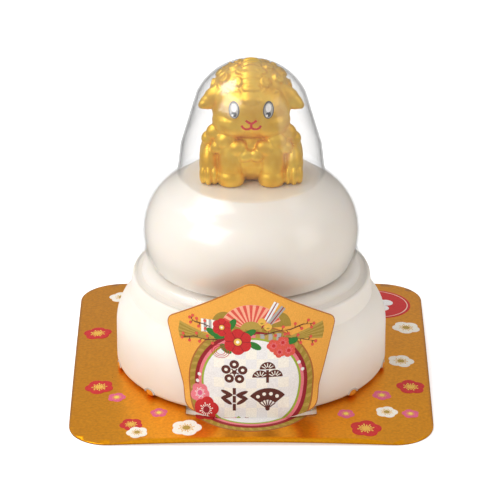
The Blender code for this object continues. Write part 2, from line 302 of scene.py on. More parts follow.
@dataclass(frozen=True)
class ClearSheet:
    """Thin clear formed plastic, seen through more where it faces the eye.

    The share that it covers is "facing" where it faces the eye and "edge" where
    it is seen along, and "drawn" times that below the height of the joint. Its
    colour turns a darker grey where it is seen along: painted shade on its edges.
    """

    name: str = "clear_sheet"
    facing: float = 0.075
    edge: float = 0.62
    edge_sharpness: float = 3.4
    joint: float = 68.0
    drawn: float = 0.42
    gloss: Point = (0.14, 0.19)
    middle_tint: Colour = (0.80, 0.82, 0.83)
    edge_painted_shade: Colour = (0.55, 0.57, 0.58)
    ripple_size: float = 6.0
    wave_size: float = 14.0

    def material(self) -> bpy.types.Material:
        """Makes the material, clearer below the dome's joint, where it is drawn thin.

        Returns:
            The material.
        """
        bench = NodeBench(self.name)
        bench.settle({"Metallic": 1.0, "Specular Tint": (0.6, 0.62, 0.64, 1.0)})
        weight = bench.nodes.new("ShaderNodeLayerWeight")
        weight.inputs["Blend"].default_value = 0.5
        rim = bench.maths("POWER", weight.outputs["Facing"], self.edge_sharpness)
        height = bench.nodes.new("ShaderNodeSeparateXYZ")
        bench.links.new(bench.coordinates, height.inputs["Vector"])
        above = bench.maths("GREATER_THAN", height.outputs["Z"], self.joint * MM)
        share = bench.span(above, self.drawn, 1.0)
        # Painted shade: the sheet's colour darkens to grey where it is seen edge on.
        tint = bench.blend(rim, self.middle_tint, self.edge_painted_shade, start=0.05, end=0.75)
        bench.feed(tint, "Base Color")
        bench.feed(bench.span(bench.noise(self.ripple_size), *self.gloss), "Roughness")
        bench.feed(bench.maths("MULTIPLY", bench.span(rim, self.facing, self.edge), share),
                   "Alpha")
        bench.bump(bench.noise(self.wave_size, detail=2.0), depth=0.2, strength=0.12)
        return bench.material


class Ink(Enum):
    """The colours that the card and the figure are printed in."""

    RED = (0.58, 0.022, 0.022)
    CRIMSON = (0.30, 0.012, 0.02)
    PINK = (0.80, 0.20, 0.24)
    BLUSH = (0.93, 0.62, 0.5)
    CREAM = (0.93, 0.88, 0.78)
    WHITE = (0.84, 0.82, 0.80)
    ROSE = (0.72, 0.12, 0.24)
    LEMON = (0.88, 0.68, 0.10)
    YELLOW = (0.80, 0.46, 0.07)
    OLIVE = (0.36, 0.235, 0.03)
    STRAW = (0.47, 0.31, 0.055)
    GREEN = (0.03, 0.20, 0.03)
    LIME = (0.33, 0.42, 0.04)
    BROWN = (0.115, 0.028, 0.02)
    GREY = (0.42, 0.40, 0.37)
    CHARCOAL = (0.06, 0.06, 0.07)
    RUST = (0.42, 0.13, 0.03)
    PEACH = (0.90, 0.42, 0.27)
    SCARLET = (0.72, 0.09, 0.06)
    GROUND = (0.82, 0.38, 0.055)

    def coat(self) -> InkCoat:
        """The finish of this colour."""
        return InkCoat(f"ink_{self.name.lower()}", self.value)


# ---------------------------------------------------------------- workshop

class Workshop:
    """Finishes pieces and keeps one material for each finish."""

    def __init__(self) -> None:
        """Starts with no materials."""
        self.materials: dict[str, bpy.types.Material] = {}

    def material(self, finish: object) -> bpy.types.Material:
        """Returns the finish's material, made once.

        Args:
            finish: A finish, with a name and a material method.

        Returns:
            Its material.
        """
        if finish.name not in self.materials:
            self.materials[finish.name] = finish.material()
        return self.materials[finish.name]

    def put_out(self, name: str, mesh_data: bmesh.types.BMesh, finish: object,
                smooth: float = 35.0, wall: float = 0.0) -> bpy.types.Object:
        """Writes a piece in metres, in the pack's frame.

        Args:
            name: The piece's name.
            mesh_data: Its mesh, in millimetres about the cakes' axis.
            finish: The finish it wears.
            smooth: The angle, in degrees, past which an edge stays sharp.
            wall: The wall's thickness in millimetres, for a sheet.

        Returns:
            The new object.
        """
        bmesh.ops.translate(mesh_data, verts=mesh_data.verts, vec=(0.0, -CAKE_FORWARD, 0.0))
        bmesh.ops.scale(mesh_data, verts=mesh_data.verts, vec=(MM, MM, MM))
        mesh = bpy.data.meshes.new(name)
        mesh_data.to_mesh(mesh)
        mesh_data.free()
        mesh.materials.append(self.material(finish))
        mesh.shade_smooth()
        mesh.set_sharp_from_angle(angle=math.radians(smooth))
        item = bpy.data.objects.new(name, mesh)
        bpy.context.scene.collection.objects.link(item)
        if wall:
            solidify = item.modifiers.new("wall", "SOLIDIFY")
            solidify.thickness = wall * MM
            solidify.offset = -1.0
        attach(item, "root")
        LOG.info("%s: %d faces", name, len(mesh.polygons))
        return item


def arc(centre: Point, radii: Point, start: float, end: float, steps: int) -> list[Point]:
    """Draws an elliptical arc.

    Args:
        centre: Its centre, as radius and height.
        radii: Its two half widths.
        start: The first angle in degrees, from the outward side.
        end: The last angle in degrees.
        steps: How many chords it has.

    Returns:
        The arc's points, both ends included.
    """
    points = []
    for step in range(steps + 1):
        angle = math.radians(start + (end - start) * step / steps)
        points.append((centre[0] + radii[0] * math.cos(angle),
                       centre[1] + radii[1] * math.sin(angle)))
    return points


def turn(outline: Sequence[Point], steps: int = 144) -> bmesh.types.BMesh:
    """Turns an outline of (radius, height) points about the cakes' axis.

    Args:
        outline: The points in order.
        steps: How many faces go round.

    Returns:
        The turned shape, its faces pointing outwards where it is closed.
    """
    mesh_data = bmesh.new()
    corners = [mesh_data.verts.new((radius, 0.0, height)) for radius, height in outline]
    edges = [mesh_data.edges.new(pair) for pair in zip(corners, corners[1:])]
    bmesh.ops.spin(mesh_data, geom=corners + edges, cent=(0, 0, 0), axis=(0, 0, 1),
                   angle=math.tau, steps=steps, use_merge=True)
    bmesh.ops.remove_doubles(mesh_data, verts=mesh_data.verts, dist=CLOSE)
    bmesh.ops.recalc_face_normals(mesh_data, faces=mesh_data.faces)
    return mesh_data


def polar(centre: Point, reach: float, angle: float) -> Point:
    """Returns the place at a reach and an angle in degrees from a centre."""
    return (centre[0] + reach * math.cos(math.radians(angle)),
            centre[1] + reach * math.sin(math.radians(angle)))


def pour(source: bmesh.types.BMesh, target: bmesh.types.BMesh) -> None:
    """Adds one mesh's shape to another and frees the first.

    Args:
        source: The mesh that is added and freed.
        target: The mesh that takes it in.
    """
    scratch = bpy.data.meshes.new("scratch")
    source.to_mesh(scratch)
    source.free()
    target.from_mesh(scratch)
    bpy.data.meshes.remove(scratch)


def whole(mesh_data: bmesh.types.BMesh) -> list[Element]:
    """Lists every vertex, edge and face of a mesh."""
    return mesh_data.verts[:] + mesh_data.edges[:] + mesh_data.faces[:]


def cut(mesh_data: bmesh.types.BMesh, planes: Sequence[Plane]) -> None:
    """Cuts a mesh's faces along planes and keeps both sides.

    Args:
        mesh_data: The mesh.
        planes: The planes, each a point and a direction.
    """
    for point, direction in planes:
        bmesh.ops.bisect_plane(mesh_data, geom=whole(mesh_data), dist=CLOSE,
                               plane_co=point, plane_no=direction)


def across_x(place: float) -> Plane:
    """Gives the plane that is square to X at a place."""
    return Vector((place, 0.0, 0.0)), Vector((1.0, 0.0, 0.0))


def across_y(place: float) -> Plane:
    """Gives the plane that is square to Y at a place."""
    return Vector((0.0, place, 0.0)), Vector((0.0, 1.0, 0.0))


# ---------------------------------------------------------------- printing

@dataclass(frozen=True)
class Patch:
    """One stretch of a surface: how it is laid, and the planes that end it."""

    place: Callable[[Vector], Vector]
    ends: tuple[Plane, ...] = ()


class Surface(Protocol):
    """Something that flat ink shapes can be laid on."""

    def patches(self) -> list[Patch]:
        """Gives the stretches that the flat pattern is parted into."""

    def cuts(self) -> list[Plane]:
        """Gives the planes, as point and direction, where the pattern bends."""


class InkSheet:
    """Flat ink shapes, gathered by colour and laid on a surface."""

    def __init__(self, name: str, surface: Surface, slot: str) -> None:
        """Starts a blank sheet over a surface.

        Args:
            name: The start of its pieces' names.
            surface: What the ink is laid on.
            slot: The record's material slot that it stands for; it is kept but not used.
        """
        self.name = name
        self.surface = surface
        self.slot = slot
        self.beds: dict[Ink, bmesh.types.BMesh] = {}

    def add(self, ink: Ink, shape: bmesh.types.BMesh, layer: float) -> None:
        """Gives a flat shape its thickness and adds it to its colour.

        Args:
            ink: The colour.
            shape: The flat faces.
            layer: How many layers up its top face lies.
        """
        raised = bmesh.ops.extrude_face_region(shape, geom=shape.faces[:])
        tops = [part for part in raised["geom"] if isinstance(part, bmesh.types.BMVert)]
        bmesh.ops.translate(shape, verts=tops, vec=(0.0, 0.0, layer * LAYER))
        bmesh.ops.recalc_face_normals(shape, faces=shape.faces)
        pour(shape, self.beds.setdefault(ink, bmesh.new()))

    def disc(self, ink: Ink, centre: Point, radii: Point, layer: float = 1.0,
             angle: float = 0.0, segments: int = 24) -> None:
        """Adds a round or oval shape, turned by an angle in degrees.

        Args:
            ink: The colour.
            centre: Its centre on the pattern.
            radii: Its two half widths.
            layer: How many layers up its top face lies.
            angle: How far it is turned.
            segments: How many corners it has.
        """
        shape = bmesh.new()
        place = (Matrix.Translation((*centre, 0.0))
                 @ Matrix.Rotation(math.radians(angle), 4, "Z")
                 @ Matrix.Diagonal((*radii, 1.0, 1.0)))
        bmesh.ops.create_circle(shape, cap_ends=True, segments=segments, radius=1.0,
                                matrix=place)
        self.add(ink, shape, layer)

    def dot(self, ink: Ink, centre: Point, radius: float, layer: float = 1.0,
            segments: int = 24) -> None:
        """Adds a round shape."""
        self.disc(ink, centre, (radius, radius), layer, segments=segments)

    def sweep(self, ink: Ink, centre: Point, inner: float, outer: float, start: float,
              end: float, layer: float = 1.0, squash: float = 1.0) -> None:
        """Adds a ring or a wedge of one, between two angles in degrees.

        Args:
            ink: The colour.
            centre: The ring's centre.
            inner: The inner radius.
            outer: The outer radius.
            start: The first angle.
            end: The last angle.
            layer: How many layers up its top face lies.
            squash: How tall it is for its width.
        """
        shape = bmesh.new()
        first = math.radians(start)
        ends = [shape.verts.new((reach * math.cos(first), reach * math.sin(first), 0.0))
                for reach in (inner, outer)]
        edge = shape.edges.new(ends)
        closed = end - start >= 360.0
        bmesh.ops.spin(shape, geom=[*ends, edge], cent=(0, 0, 0), axis=(0, 0, 1),
                       angle=math.radians(end - start), use_merge=closed,
                       steps=max(3, round((end - start) / 4.0)))
        bmesh.ops.scale(shape, verts=shape.verts, vec=(1.0, squash, 1.0))
        bmesh.ops.translate(shape, verts=shape.verts, vec=(*centre, 0.0))
        self.add(ink, shape, layer)

    def outline(self, ink: Ink, corners: Sequence[Point], layer: float = 1.0) -> None:
        """Adds a shape with straight sides.

        Args:
            ink: The colour.
            corners: Its corners in order.
            layer: How many layers up its top face lies.
        """
        shape = bmesh.new()
        shape.faces.new([shape.verts.new((*corner, 0.0)) for corner in corners])
        self.add(ink, shape, layer)

    def stroke(self, ink: Ink, points: Sequence[Point], width: float,
               layer: float = 1.0) -> None:
        """Adds a line of an even width through some points.

        Args:
            ink: The colour.
            points: The points along its middle.
            width: How wide it is.
            layer: How many layers up its top face lies.
        """
        shape = bmesh.new()
        edge = None
        for index, point in enumerate(points):
            before = Vector(points[max(index - 1, 0)])
            after = Vector(points[min(index + 1, len(points) - 1)])
            side = (after - before).normalized().orthogonal() * width / 2
            corners = [(*(Vector(point) + side), 0.0), (*(Vector(point) - side), 0.0)]
            if edge is None:
                edge = shape.edges.new([shape.verts.new(corner) for corner in corners])
                continue
            grown = bmesh.ops.extrude_edge_only(shape, edges=[edge])["geom"]
            edge = next(part for part in grown if isinstance(part, bmesh.types.BMEdge))
            ends = [part for part in grown if isinstance(part, bmesh.types.BMVert)]
            ends.sort(key=lambda vert: (vert.co - Vector(corners[0])).length)
            for vert, corner in zip(ends, corners):
                vert.co = corner
        self.add(ink, shape, layer)

    def finish(self, workshop: Workshop) -> None:
        """Cuts every colour where its surface bends, and lays it down.

        Args:
            workshop: What finishes the pieces and keeps their materials.
        """
        bends = self.surface.cuts()
        for ink, bed in self.beds.items():
            cut(bed, bends)
            laid = bmesh.new()
            for patch in self.surface.patches():
                pour(self.trimmed(bed.copy(), patch), laid)
            bed.free()
            workshop.put_out(f"{self.name}_{ink.name.lower()}", laid, ink.coat(),
                             smooth=20.0)

    @staticmethod
    def trimmed(bed: bmesh.types.BMesh, patch: Patch) -> bmesh.types.BMesh:
        """Keeps the ink that falls on one patch, closes its ends and lays it down.

        Args:
            bed: The ink of one colour, still flat.
            patch: The patch that it is kept on.

        Returns:
            The same mesh, laid down.
        """
        for point, outward in patch.ends:
            halved = bmesh.ops.bisect_plane(bed, geom=whole(bed), dist=CLOSE / 2,
                                            plane_co=point, plane_no=outward,
                                            clear_outer=True)
            bmesh.ops.holes_fill(bed, edges=[part for part in halved["geom_cut"]
                                             if isinstance(part, bmesh.types.BMEdge)])
        for vert in bed.verts:
            vert.co = patch.place(vert.co)
        return bed


# ---------------------------------------------------------------- the cakes

@dataclass
class RiceCakes:
    """The two stacked cakes, each in its moulded skin."""

    radius: float = 43.5
    foot_radius: float = 42.5
    foot_thickness: float = 1.9
    neck_radius: float = 38.4
    neck_top: float = 3.05
    side_top: float = 16.5
    bottom_rounding: float = 1.8
    shoulder_rounding: Point = (13.0, 13.6)
    ledge_height: float = 33.45
    ledge_radius: float = 38.4
    lip_radius: float = 37.4
    lip_rounding: Point = (0.9, 0.75)
    groove: Point = (36.2, 37.7)
    shelf_height: float = 37.0
    shelf_radius: float = 30.0
    shelf_edge: float = 32.2
    shelf_rounding: Point = (3.0, 3.2)
    table_height: float = 66.5
    table_radius: float = 18.0
    table_edge: float = 21.0
    table_rounding: Point = (1.5, 1.4)
    play: float = 0.35

    def lower(self, workshop: Workshop) -> None:
        """Builds the lower cake with its foot and neck.

        Args:
            workshop: What finishes the pieces and keeps their materials.
        """
        shoulder = arc((self.radius - self.shoulder_rounding[0], self.side_top),
                       self.shoulder_rounding, start=58.0, end=0.0, steps=14)
        shoulder = [point for point in shoulder if point[0] > self.ledge_radius]
        outline = [(0.0, self.shelf_height), (self.shelf_radius, self.shelf_height)]
        outline += arc((self.shelf_edge, self.ledge_height), self.shelf_rounding,
                       start=80.0, end=10.0, steps=6)
        outline += [(radius, self.ledge_height) for radius in self.groove]
        outline += arc((self.lip_radius, self.ledge_height - self.lip_rounding[1]),
                       self.lip_rounding, start=80.0, end=5.0, steps=3)
        outline += shoulder
        rounding = self.bottom_rounding
        outline += arc((self.radius - rounding, self.neck_top + rounding),
                       (rounding, rounding), start=0.0, end=-90.0, steps=8)
        outline += [(self.neck_radius, self.neck_top),
                    (self.neck_radius, self.foot_thickness),
                    (self.foot_radius, self.foot_thickness), (self.foot_radius, 0.0),
                    (0.0, 0.0)]
        item = workshop.put_out("lower_cake_body", turn(outline), RiceCakeSkin("lower_skin"),
                                smooth=40.0)
        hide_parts("lower_cake")

    def upper(self, workshop: Workshop, cover: "ClearCover") -> None:
        """Builds the upper cake, which fills the cover's bulge.

        Args:
            workshop: What finishes the pieces and keeps their materials.
            cover: The cover whose bulge it fills.
        """
        gap = cover.wall + self.play
        outline = [(0.0, self.table_height), (self.table_radius, self.table_height)]
        outline += arc((self.table_edge, self.table_height - self.table_rounding[1]),
                       self.table_rounding, start=90.0, end=40.0, steps=4)
        outline += arc(cover.bulge_centre,
                       (cover.bulge_radii[0] - gap, cover.bulge_radii[1] - gap),
                       start=65.0, end=-34.0, steps=24)
        bottom = cover.skirt_top - cover.wall + self.play
        outline += [(outline[-1][0] - self.play, bottom), (0.0, bottom)]
        skin = RiceCakeSkin("upper_skin", gloss=(0.26, 0.34), coat=0.6)
        item = workshop.put_out("upper_cake_body", turn(outline), skin,
                                smooth=40.0)
        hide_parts("upper_cake")


@dataclass
class Lugs:
    """The small clear tabs that hold the card down round the lower cake."""

    angles: tuple[float, ...] = (48.0, 78.0, 108.0, 138.0)
    reach: float = 42.9
    height: float = 3.9
    half_size: Place = (1.9, 1.1, 1.1)
    rim: float = 0.2
    rim_growth: Point = (0.15, 0.2)
    # Painted reflection: the amber stands for the gold card seen in the clear tab.
    card_reflection_coat: InkCoat = InkCoat("amber_card_reflection", (0.80, 0.28, 0.02), gloss=0.2)
    # Painted shade: the grey of the arched rim over each tab.
    arch_shade_coat: InkCoat = InkCoat("lug_arch_painted_shade", (0.62, 0.58, 0.53), gloss=0.2)

    def build(self, workshop: Workshop) -> None:
        """Builds every tab with its amber window, a painted reflection of the gold card.

        Args:
            workshop: What finishes the pieces and keeps their materials.
        """
        windows, hoods = bmesh.new(), bmesh.new()
        for angle in (side * angle for side in (-1, 1) for angle in self.angles):
            turned = math.radians(angle)
            place = (Matrix.Rotation(turned, 4, "Z")
                     @ Matrix.Translation((0.0, -self.reach, self.height)))
            bmesh.ops.create_uvsphere(windows, u_segments=20, v_segments=12, radius=1.0,
                                      matrix=place @ Matrix.Diagonal((*self.half_size, 1.0)))
            self.hood(hoods, place)
        bmesh.ops.recalc_face_normals(windows, faces=windows.faces)
        bmesh.ops.recalc_face_normals(hoods, faces=hoods.faces)
        workshop.put_out("lug_windows", windows, self.card_reflection_coat)
        workshop.put_out("lug_hoods", hoods, self.arch_shade_coat)

    def hood(self, mesh_data: bmesh.types.BMesh, place: Matrix) -> None:
        """Adds the arched rim, grey with painted shade, over one tab's window.

        Args:
            mesh_data: The mesh that it is added to.
            place: Where the tab is.
        """
        wide, deep, tall = self.half_size
        rim = bmesh.new()
        bmesh.ops.create_circle(rim, cap_ends=False, segments=8, radius=self.rim,
                                matrix=Matrix.Translation((1.0, 0.0, 0.0)))
        bmesh.ops.spin(rim, geom=whole(rim), cent=(0, 0, 0), axis=(0, -1, 0),
                       angle=math.radians(180.0), steps=16)
        bmesh.ops.holes_fill(rim, edges=rim.edges)
        grown = Matrix.Diagonal((wide + self.rim_growth[0], 1.0, tall + self.rim_growth[1],
                                 1.0))
        forward = Matrix.Translation((0.0, -deep * 0.55, 0.0))
        bmesh.ops.transform(rim, verts=rim.verts, matrix=place @ grown @ forward)
        pour(rim, mesh_data)


@dataclass
class ClearCover:
    """The formed cover: skirt, bulge over the upper cake, dome over the figure."""

    wall: float = 0.5
    bulge_centre: Point = (21.5, 48.0)
    bulge_radii: Point = (13.45, 17.3)
    joint: Point = (23.6, 67.3)
    cone_bottom: Point = (22.4, 77.5)
    dome_radius: float = 19.3
    dome_centre: float = 86.2
    dome_edge: float = 25.6
    skirt_centre: Point = (33.9, 33.8)
    skirt_radii: Point = (3.5, 4.2)
    skirt_top: float = 38.0
    rim: Point = (37.4, 33.5)

    def outline(self) -> list[Point]:
        """Draws the outer line from the top to the rim.

        Returns:
            Its points, as radius and height.
        """
        line = arc((0.0, self.dome_centre), (self.dome_radius, self.dome_radius),
                   start=90.0, end=self.dome_edge, steps=22)
        line[0] = (0.0, line[0][1])
        line += self.straight(line[-1], self.cone_bottom, steps=6)
        line += self.straight(self.cone_bottom, self.joint, steps=6)
        line += arc(self.bulge_centre, self.bulge_radii, start=61.0, end=-32.0, steps=30)
        line += arc(self.skirt_centre, self.skirt_radii, start=90.0, end=0.0, steps=10)
        line += [self.rim]
        return line

    @staticmethod
    def straight(start: Point, end: Point, steps: int) -> list[Point]:
        """Steps along a straight stretch, without its first point.

        Args:
            start: Where it begins.
            end: Where it stops.
            steps: How many steps it has.

        Returns:
            The points.
        """
        return [(start[0] + (end[0] - start[0]) * step / steps,
                 start[1] + (end[1] - start[1]) * step / steps)
                for step in range(1, steps + 1)]

    def build(self, workshop: Workshop) -> None:
        """Builds the shell, which is too clear to cast a shadow.

        Args:
            workshop: What finishes the pieces and keeps their materials.
        """
        item = workshop.put_out("cover_shell", turn(self.outline(), steps=160),
                                ClearSheet(), smooth=50.0, wall=self.wall)
        item.visible_shadow = False
        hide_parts("clear_cover")


# ---------------------------------------------------------------- the card

@dataclass
class FoldedCard:
    """The gold card: a base with a round hole, and the flap folded from it."""

    width: float = 114.6
    depth: float = 117.8
    corner_radius: float = 13.0
    thickness: float = 0.5
    top: float = 2.7
    droop_start: float = 43.5
    droop_end: float = 77.0
    hole_radius: float = 39.0
    fold: float = 44.35
    fold_half: float = 10.6
    flap_corners: tuple[Point, ...] = ((20.6, 3.25), (28.6, 31.3), (0.0, 46.9),
                                       (-28.6, 31.3), (-20.6, 3.25))
    flap_rounding: float = 2.4
    curl_length: float = 10.0
    bends: int = 12
    hole_steps: int = 120
    droop_step: float = 4.0
    seam_gap: float = 0.01

    def droop(self, x: float, y: float) -> float:
        """How far the base has sunk at a place on it."""
        reach = (math.hypot(x, y) - self.droop_start) / (self.droop_end - self.droop_start)
        return (self.top - self.thickness) * min(max(reach, 0.0), 1.0)

    def place_on_base(self, point: Vector) -> Vector:
        """Puts a point of the flat base, with its height, in place."""
        return Vector((point.x, point.y, self.top - self.droop(point.x, point.y) + point.z))

    def place_on_flap(self, point: Vector) -> Vector:
        """Stands a point of the flap's pattern up and curls it round the cake.

        Args:
            point: The distance across, the length up from the fold, and the
                height above the printed face.

        Returns:
            The place in the finished pack.
        """
        across, length, height = point
        if length < 0.0:
            return self.place_on_base(Vector((across, length - self.fold, height)))
        share = min(length / self.curl_length, 1.0)
        curl = max(share * share * (3.0 - 2.0 * share) / self.fold, 1e-6)
        reach = 1.0 / curl
        swing = across * curl
        foot = self.top - self.droop(across, -self.fold) * (1.0 - share)
        return Vector((math.sin(swing) * (reach + height),
                       reach - self.fold - math.cos(swing) * (reach + height),
                       foot + length))

    def across_cuts(self) -> list[float]:
        """The lines across which the flap curls."""
        step = self.fold_half / 8
        return [step * index for index in range(-21, 22)]

    def bend_cuts(self) -> list[float]:
        """The lengths between which the flap's curl sets in."""
        return [self.curl_length * step / self.bends for step in range(1, self.bends + 1)]

    def flap_cuts(self) -> list[Plane]:
        """The planes, as point and direction, that part the flap into even triangles.

        Returns:
            The planes.
        """
        across, bends = self.across_cuts(), [0.0, *self.bend_cuts()]
        wide, tall = across[1] - across[0], bends[1] - bends[0]
        cuts = [across_x(place) for place in across]
        cuts += [across_y(length) for length in bends]
        reach = across[-1] + len(bends) * wide
        for side in (1.0, -1.0):
            slant = Vector((side * tall, wide, 0.0)).normalized()
            cuts += [(Vector((side * (across[0] + step * wide), 0.0, 0.0)), slant)
                     for step in range(round((reach - across[0]) / wide) + 1)]
        return cuts

    def base_sheet(self) -> bmesh.types.BMesh:
        """Makes the flat base with its hole, cut where it will droop.

        Returns:
            The sheet, already drooping.
        """
        sheet = bmesh.new()
        bmesh.ops.create_grid(sheet, x_segments=1, y_segments=1, size=0.5)
        bmesh.ops.scale(sheet, verts=sheet.verts, vec=(self.width, self.depth, 1.0))
        bmesh.ops.bevel(sheet, geom=sheet.verts[:], offset=self.corner_radius, segments=12,
                        profile=0.5, affect="VERTICES", material=-1)
        bmesh.ops.translate(sheet, verts=sheet.verts, vec=(0.0, CAKE_FORWARD, 0.0))
        bmesh.ops.delete(sheet, geom=sheet.faces[:], context="FACES_ONLY")
        hole = bmesh.new()
        start, end = self.fold_half, self.flap_corners[0]
        meeting = math.degrees(math.asin(end[0] / self.hole_radius))
        sweep = 360.0 - 2.0 * meeting
        rim = [polar((0.0, 0.0), self.hole_radius,
                     sweep * step / self.hole_steps + meeting - 90.0)
               for step in range(self.hole_steps + 1)]
        rim += [(-end[0], end[1] - self.fold), (-start, -self.fold),
                (start, -self.fold), (end[0], end[1] - self.fold)]
        corners = [hole.verts.new((*point, 0.0)) for point in rim]
        for pair in zip(corners, corners[1:] + corners[:1]):
            hole.edges.new(pair)
        pour(hole, sheet)
        bmesh.ops.triangle_fill(sheet, use_beauty=True, use_dissolve=False,
                                edges=sheet.edges[:])
        cut(sheet, [across_x(place) for place in self.across_cuts()])
        for step in range(-14, 15):
            place = step * self.droop_step
            cut(sheet, [across_x(place), across_y(place + CAKE_FORWARD)])
        for vert in sheet.verts:
            vert.co = self.place_on_base(vert.co)
        return sheet

    def flap_pattern(self) -> bmesh.types.BMesh:
        """Makes the flap's flat five-sided shape with rounded corners.

        Returns:
            One face, with the fold along Y = 0.
        """
        sheet = bmesh.new()
        ends = [(-self.fold_half, 0.0), (self.fold_half, 0.0)]
        corners = [sheet.verts.new((*corner, 0.0)) for corner in (*ends, *self.flap_corners)]
        sheet.faces.new(corners)
        bmesh.ops.bevel(sheet, geom=corners[2:], offset=self.flap_rounding, segments=5,
                        profile=0.5, affect="VERTICES", material=-1)
        return sheet

    def flap_sheet(self) -> bmesh.types.BMesh:
        """Makes the flap's five-sided sheet and folds it up.

        Returns:
            The sheet, in its place on the card.
        """
        sheet = self.flap_pattern()
        cut(sheet, self.flap_cuts())
        for vert in sheet.verts:
            vert.co = self.place_on_flap(vert.co)
        return sheet

    def build(self, workshop: Workshop) -> None:
        """Builds the base and its flap as one sheet.

        Args:
            workshop: What finishes the pieces and keeps their materials.
        """
        card = self.base_sheet()
        pour(self.flap_sheet(), card)
        bmesh.ops.remove_doubles(card, verts=card.verts, dist=self.seam_gap)
        bmesh.ops.recalc_face_normals(card, faces=card.faces)
        base = max(card.faces, key=lambda face: face.calc_center_median().y)
        if base.normal.z < 0.0:
            bmesh.ops.reverse_faces(card, faces=card.faces)
        item = workshop.put_out("card", card, GoldFoil(), smooth=30.0,
                                wall=self.thickness)
        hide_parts("base_card")


@dataclass
class BaseSurface:
    """The card's base, as a surface to print on."""

    card: FoldedCard
    step: float = 6.0

    def patches(self) -> list[Patch]:
        """The whole base."""
        return [Patch(self.card.place_on_base)]

    def cuts(self) -> list[Plane]:
        """Even lines both ways."""
        places = [index * self.step for index in range(-9, 11)]
        return [*map(across_x, places), *map(across_y, places)]


@dataclass
class FlapSurface:
    """The folded flap, as a surface to print on."""

    card: FoldedCard
    fold_place: float = 7.3

    def on_flap(self, point: Vector) -> Vector:
        """Lays a pattern point on the flap."""
        return self.card.place_on_flap(point - Vector((0.0, self.fold_place, 0.0)))

    def on_base(self, point: Vector) -> Vector:
        """Lays a pattern point on the base in front of the fold."""
        return self.card.place_on_base(
            point - Vector((0.0, self.fold_place + self.card.fold, 0.0)))

    def patches(self) -> list[Patch]:
        """The flap above its fold and cut edges, and the base below them.

        Returns:
            The patches, with the flap's own first.
        """
        fold = Vector((0.0, self.fold_place, 0.0))
        down = Vector((0.0, -1.0, 0.0))
        corner, rise = self.card.flap_corners[0]
        run = corner - self.card.fold_half
        sides = []
        for side in (1.0, -1.0):
            start = fold + Vector((side * self.card.fold_half, 0.0, 0.0))
            sides.append((start, Vector((side * rise, -run, 0.0)).normalized()))
        flap = Patch(self.on_flap, ((fold, down), *sides))
        front = Patch(self.on_base, ((fold, -down),))
        wedges = [Patch(self.on_base, ((fold, down), (start, -outward)))
                  for start, outward in sides]
        return [flap, front, *wedges]

    def cuts(self) -> list[Plane]:
        """The lines where the flap curls and bends."""
        fold = Vector((0.0, self.fold_place, 0.0))
        return [(point + fold, direction) for point, direction in self.card.flap_cuts()]


class Bloom(Enum):
    """The plum blossoms' petal, heart and stamen colours."""

    RED = (Ink.RED, Ink.YELLOW, Ink.LEMON)
    PINK = (Ink.ROSE, Ink.LEMON, Ink.YELLOW)
    WHITE = (Ink.CREAM, Ink.STRAW, Ink.YELLOW)
    FLAP_RED = (Ink.RED, Ink.CRIMSON, Ink.CREAM)
    FLAP_PINK = (Ink.PINK, Ink.ROSE, Ink.WHITE)
    CLUSTER = (Ink.SCARLET, Ink.RED, Ink.PINK)


def blossom(sheet: InkSheet, bloom: Bloom, centre: Point, size: float, angle: float = 90.0,
            layer: float = 1.0) -> None:
    """Prints a five-petalled plum blossom.

    Args:
        sheet: What it is printed on.
        bloom: Its colours.
        centre: Its place on the pattern.
        size: How wide it is.
        angle: Where its first petal points, in degrees.
        layer: How many layers up it lies.
    """
    petal, heart, stamen = bloom.value
    for index in range(5):
        way = angle + 72.0 * index
        sheet.disc(petal, polar(centre, 0.235 * size, way), (0.27 * size, 0.265 * size),
                   layer + 0.12 * index, way, 20)
    for index in range(16):
        way = angle + 22.5 * index
        reach = (0.25 if index % 2 else 0.19) * size
        sheet.stroke(stamen, [polar(centre, 0.06 * size, way), polar(centre, reach, way)],
                     0.024 * size, layer + 1.0)
        sheet.dot(stamen, polar(centre, reach, way), 0.026 * size, layer + 1.2, 8)
    sheet.dot(heart, centre, 0.13 * size, layer + 1.6, 14)


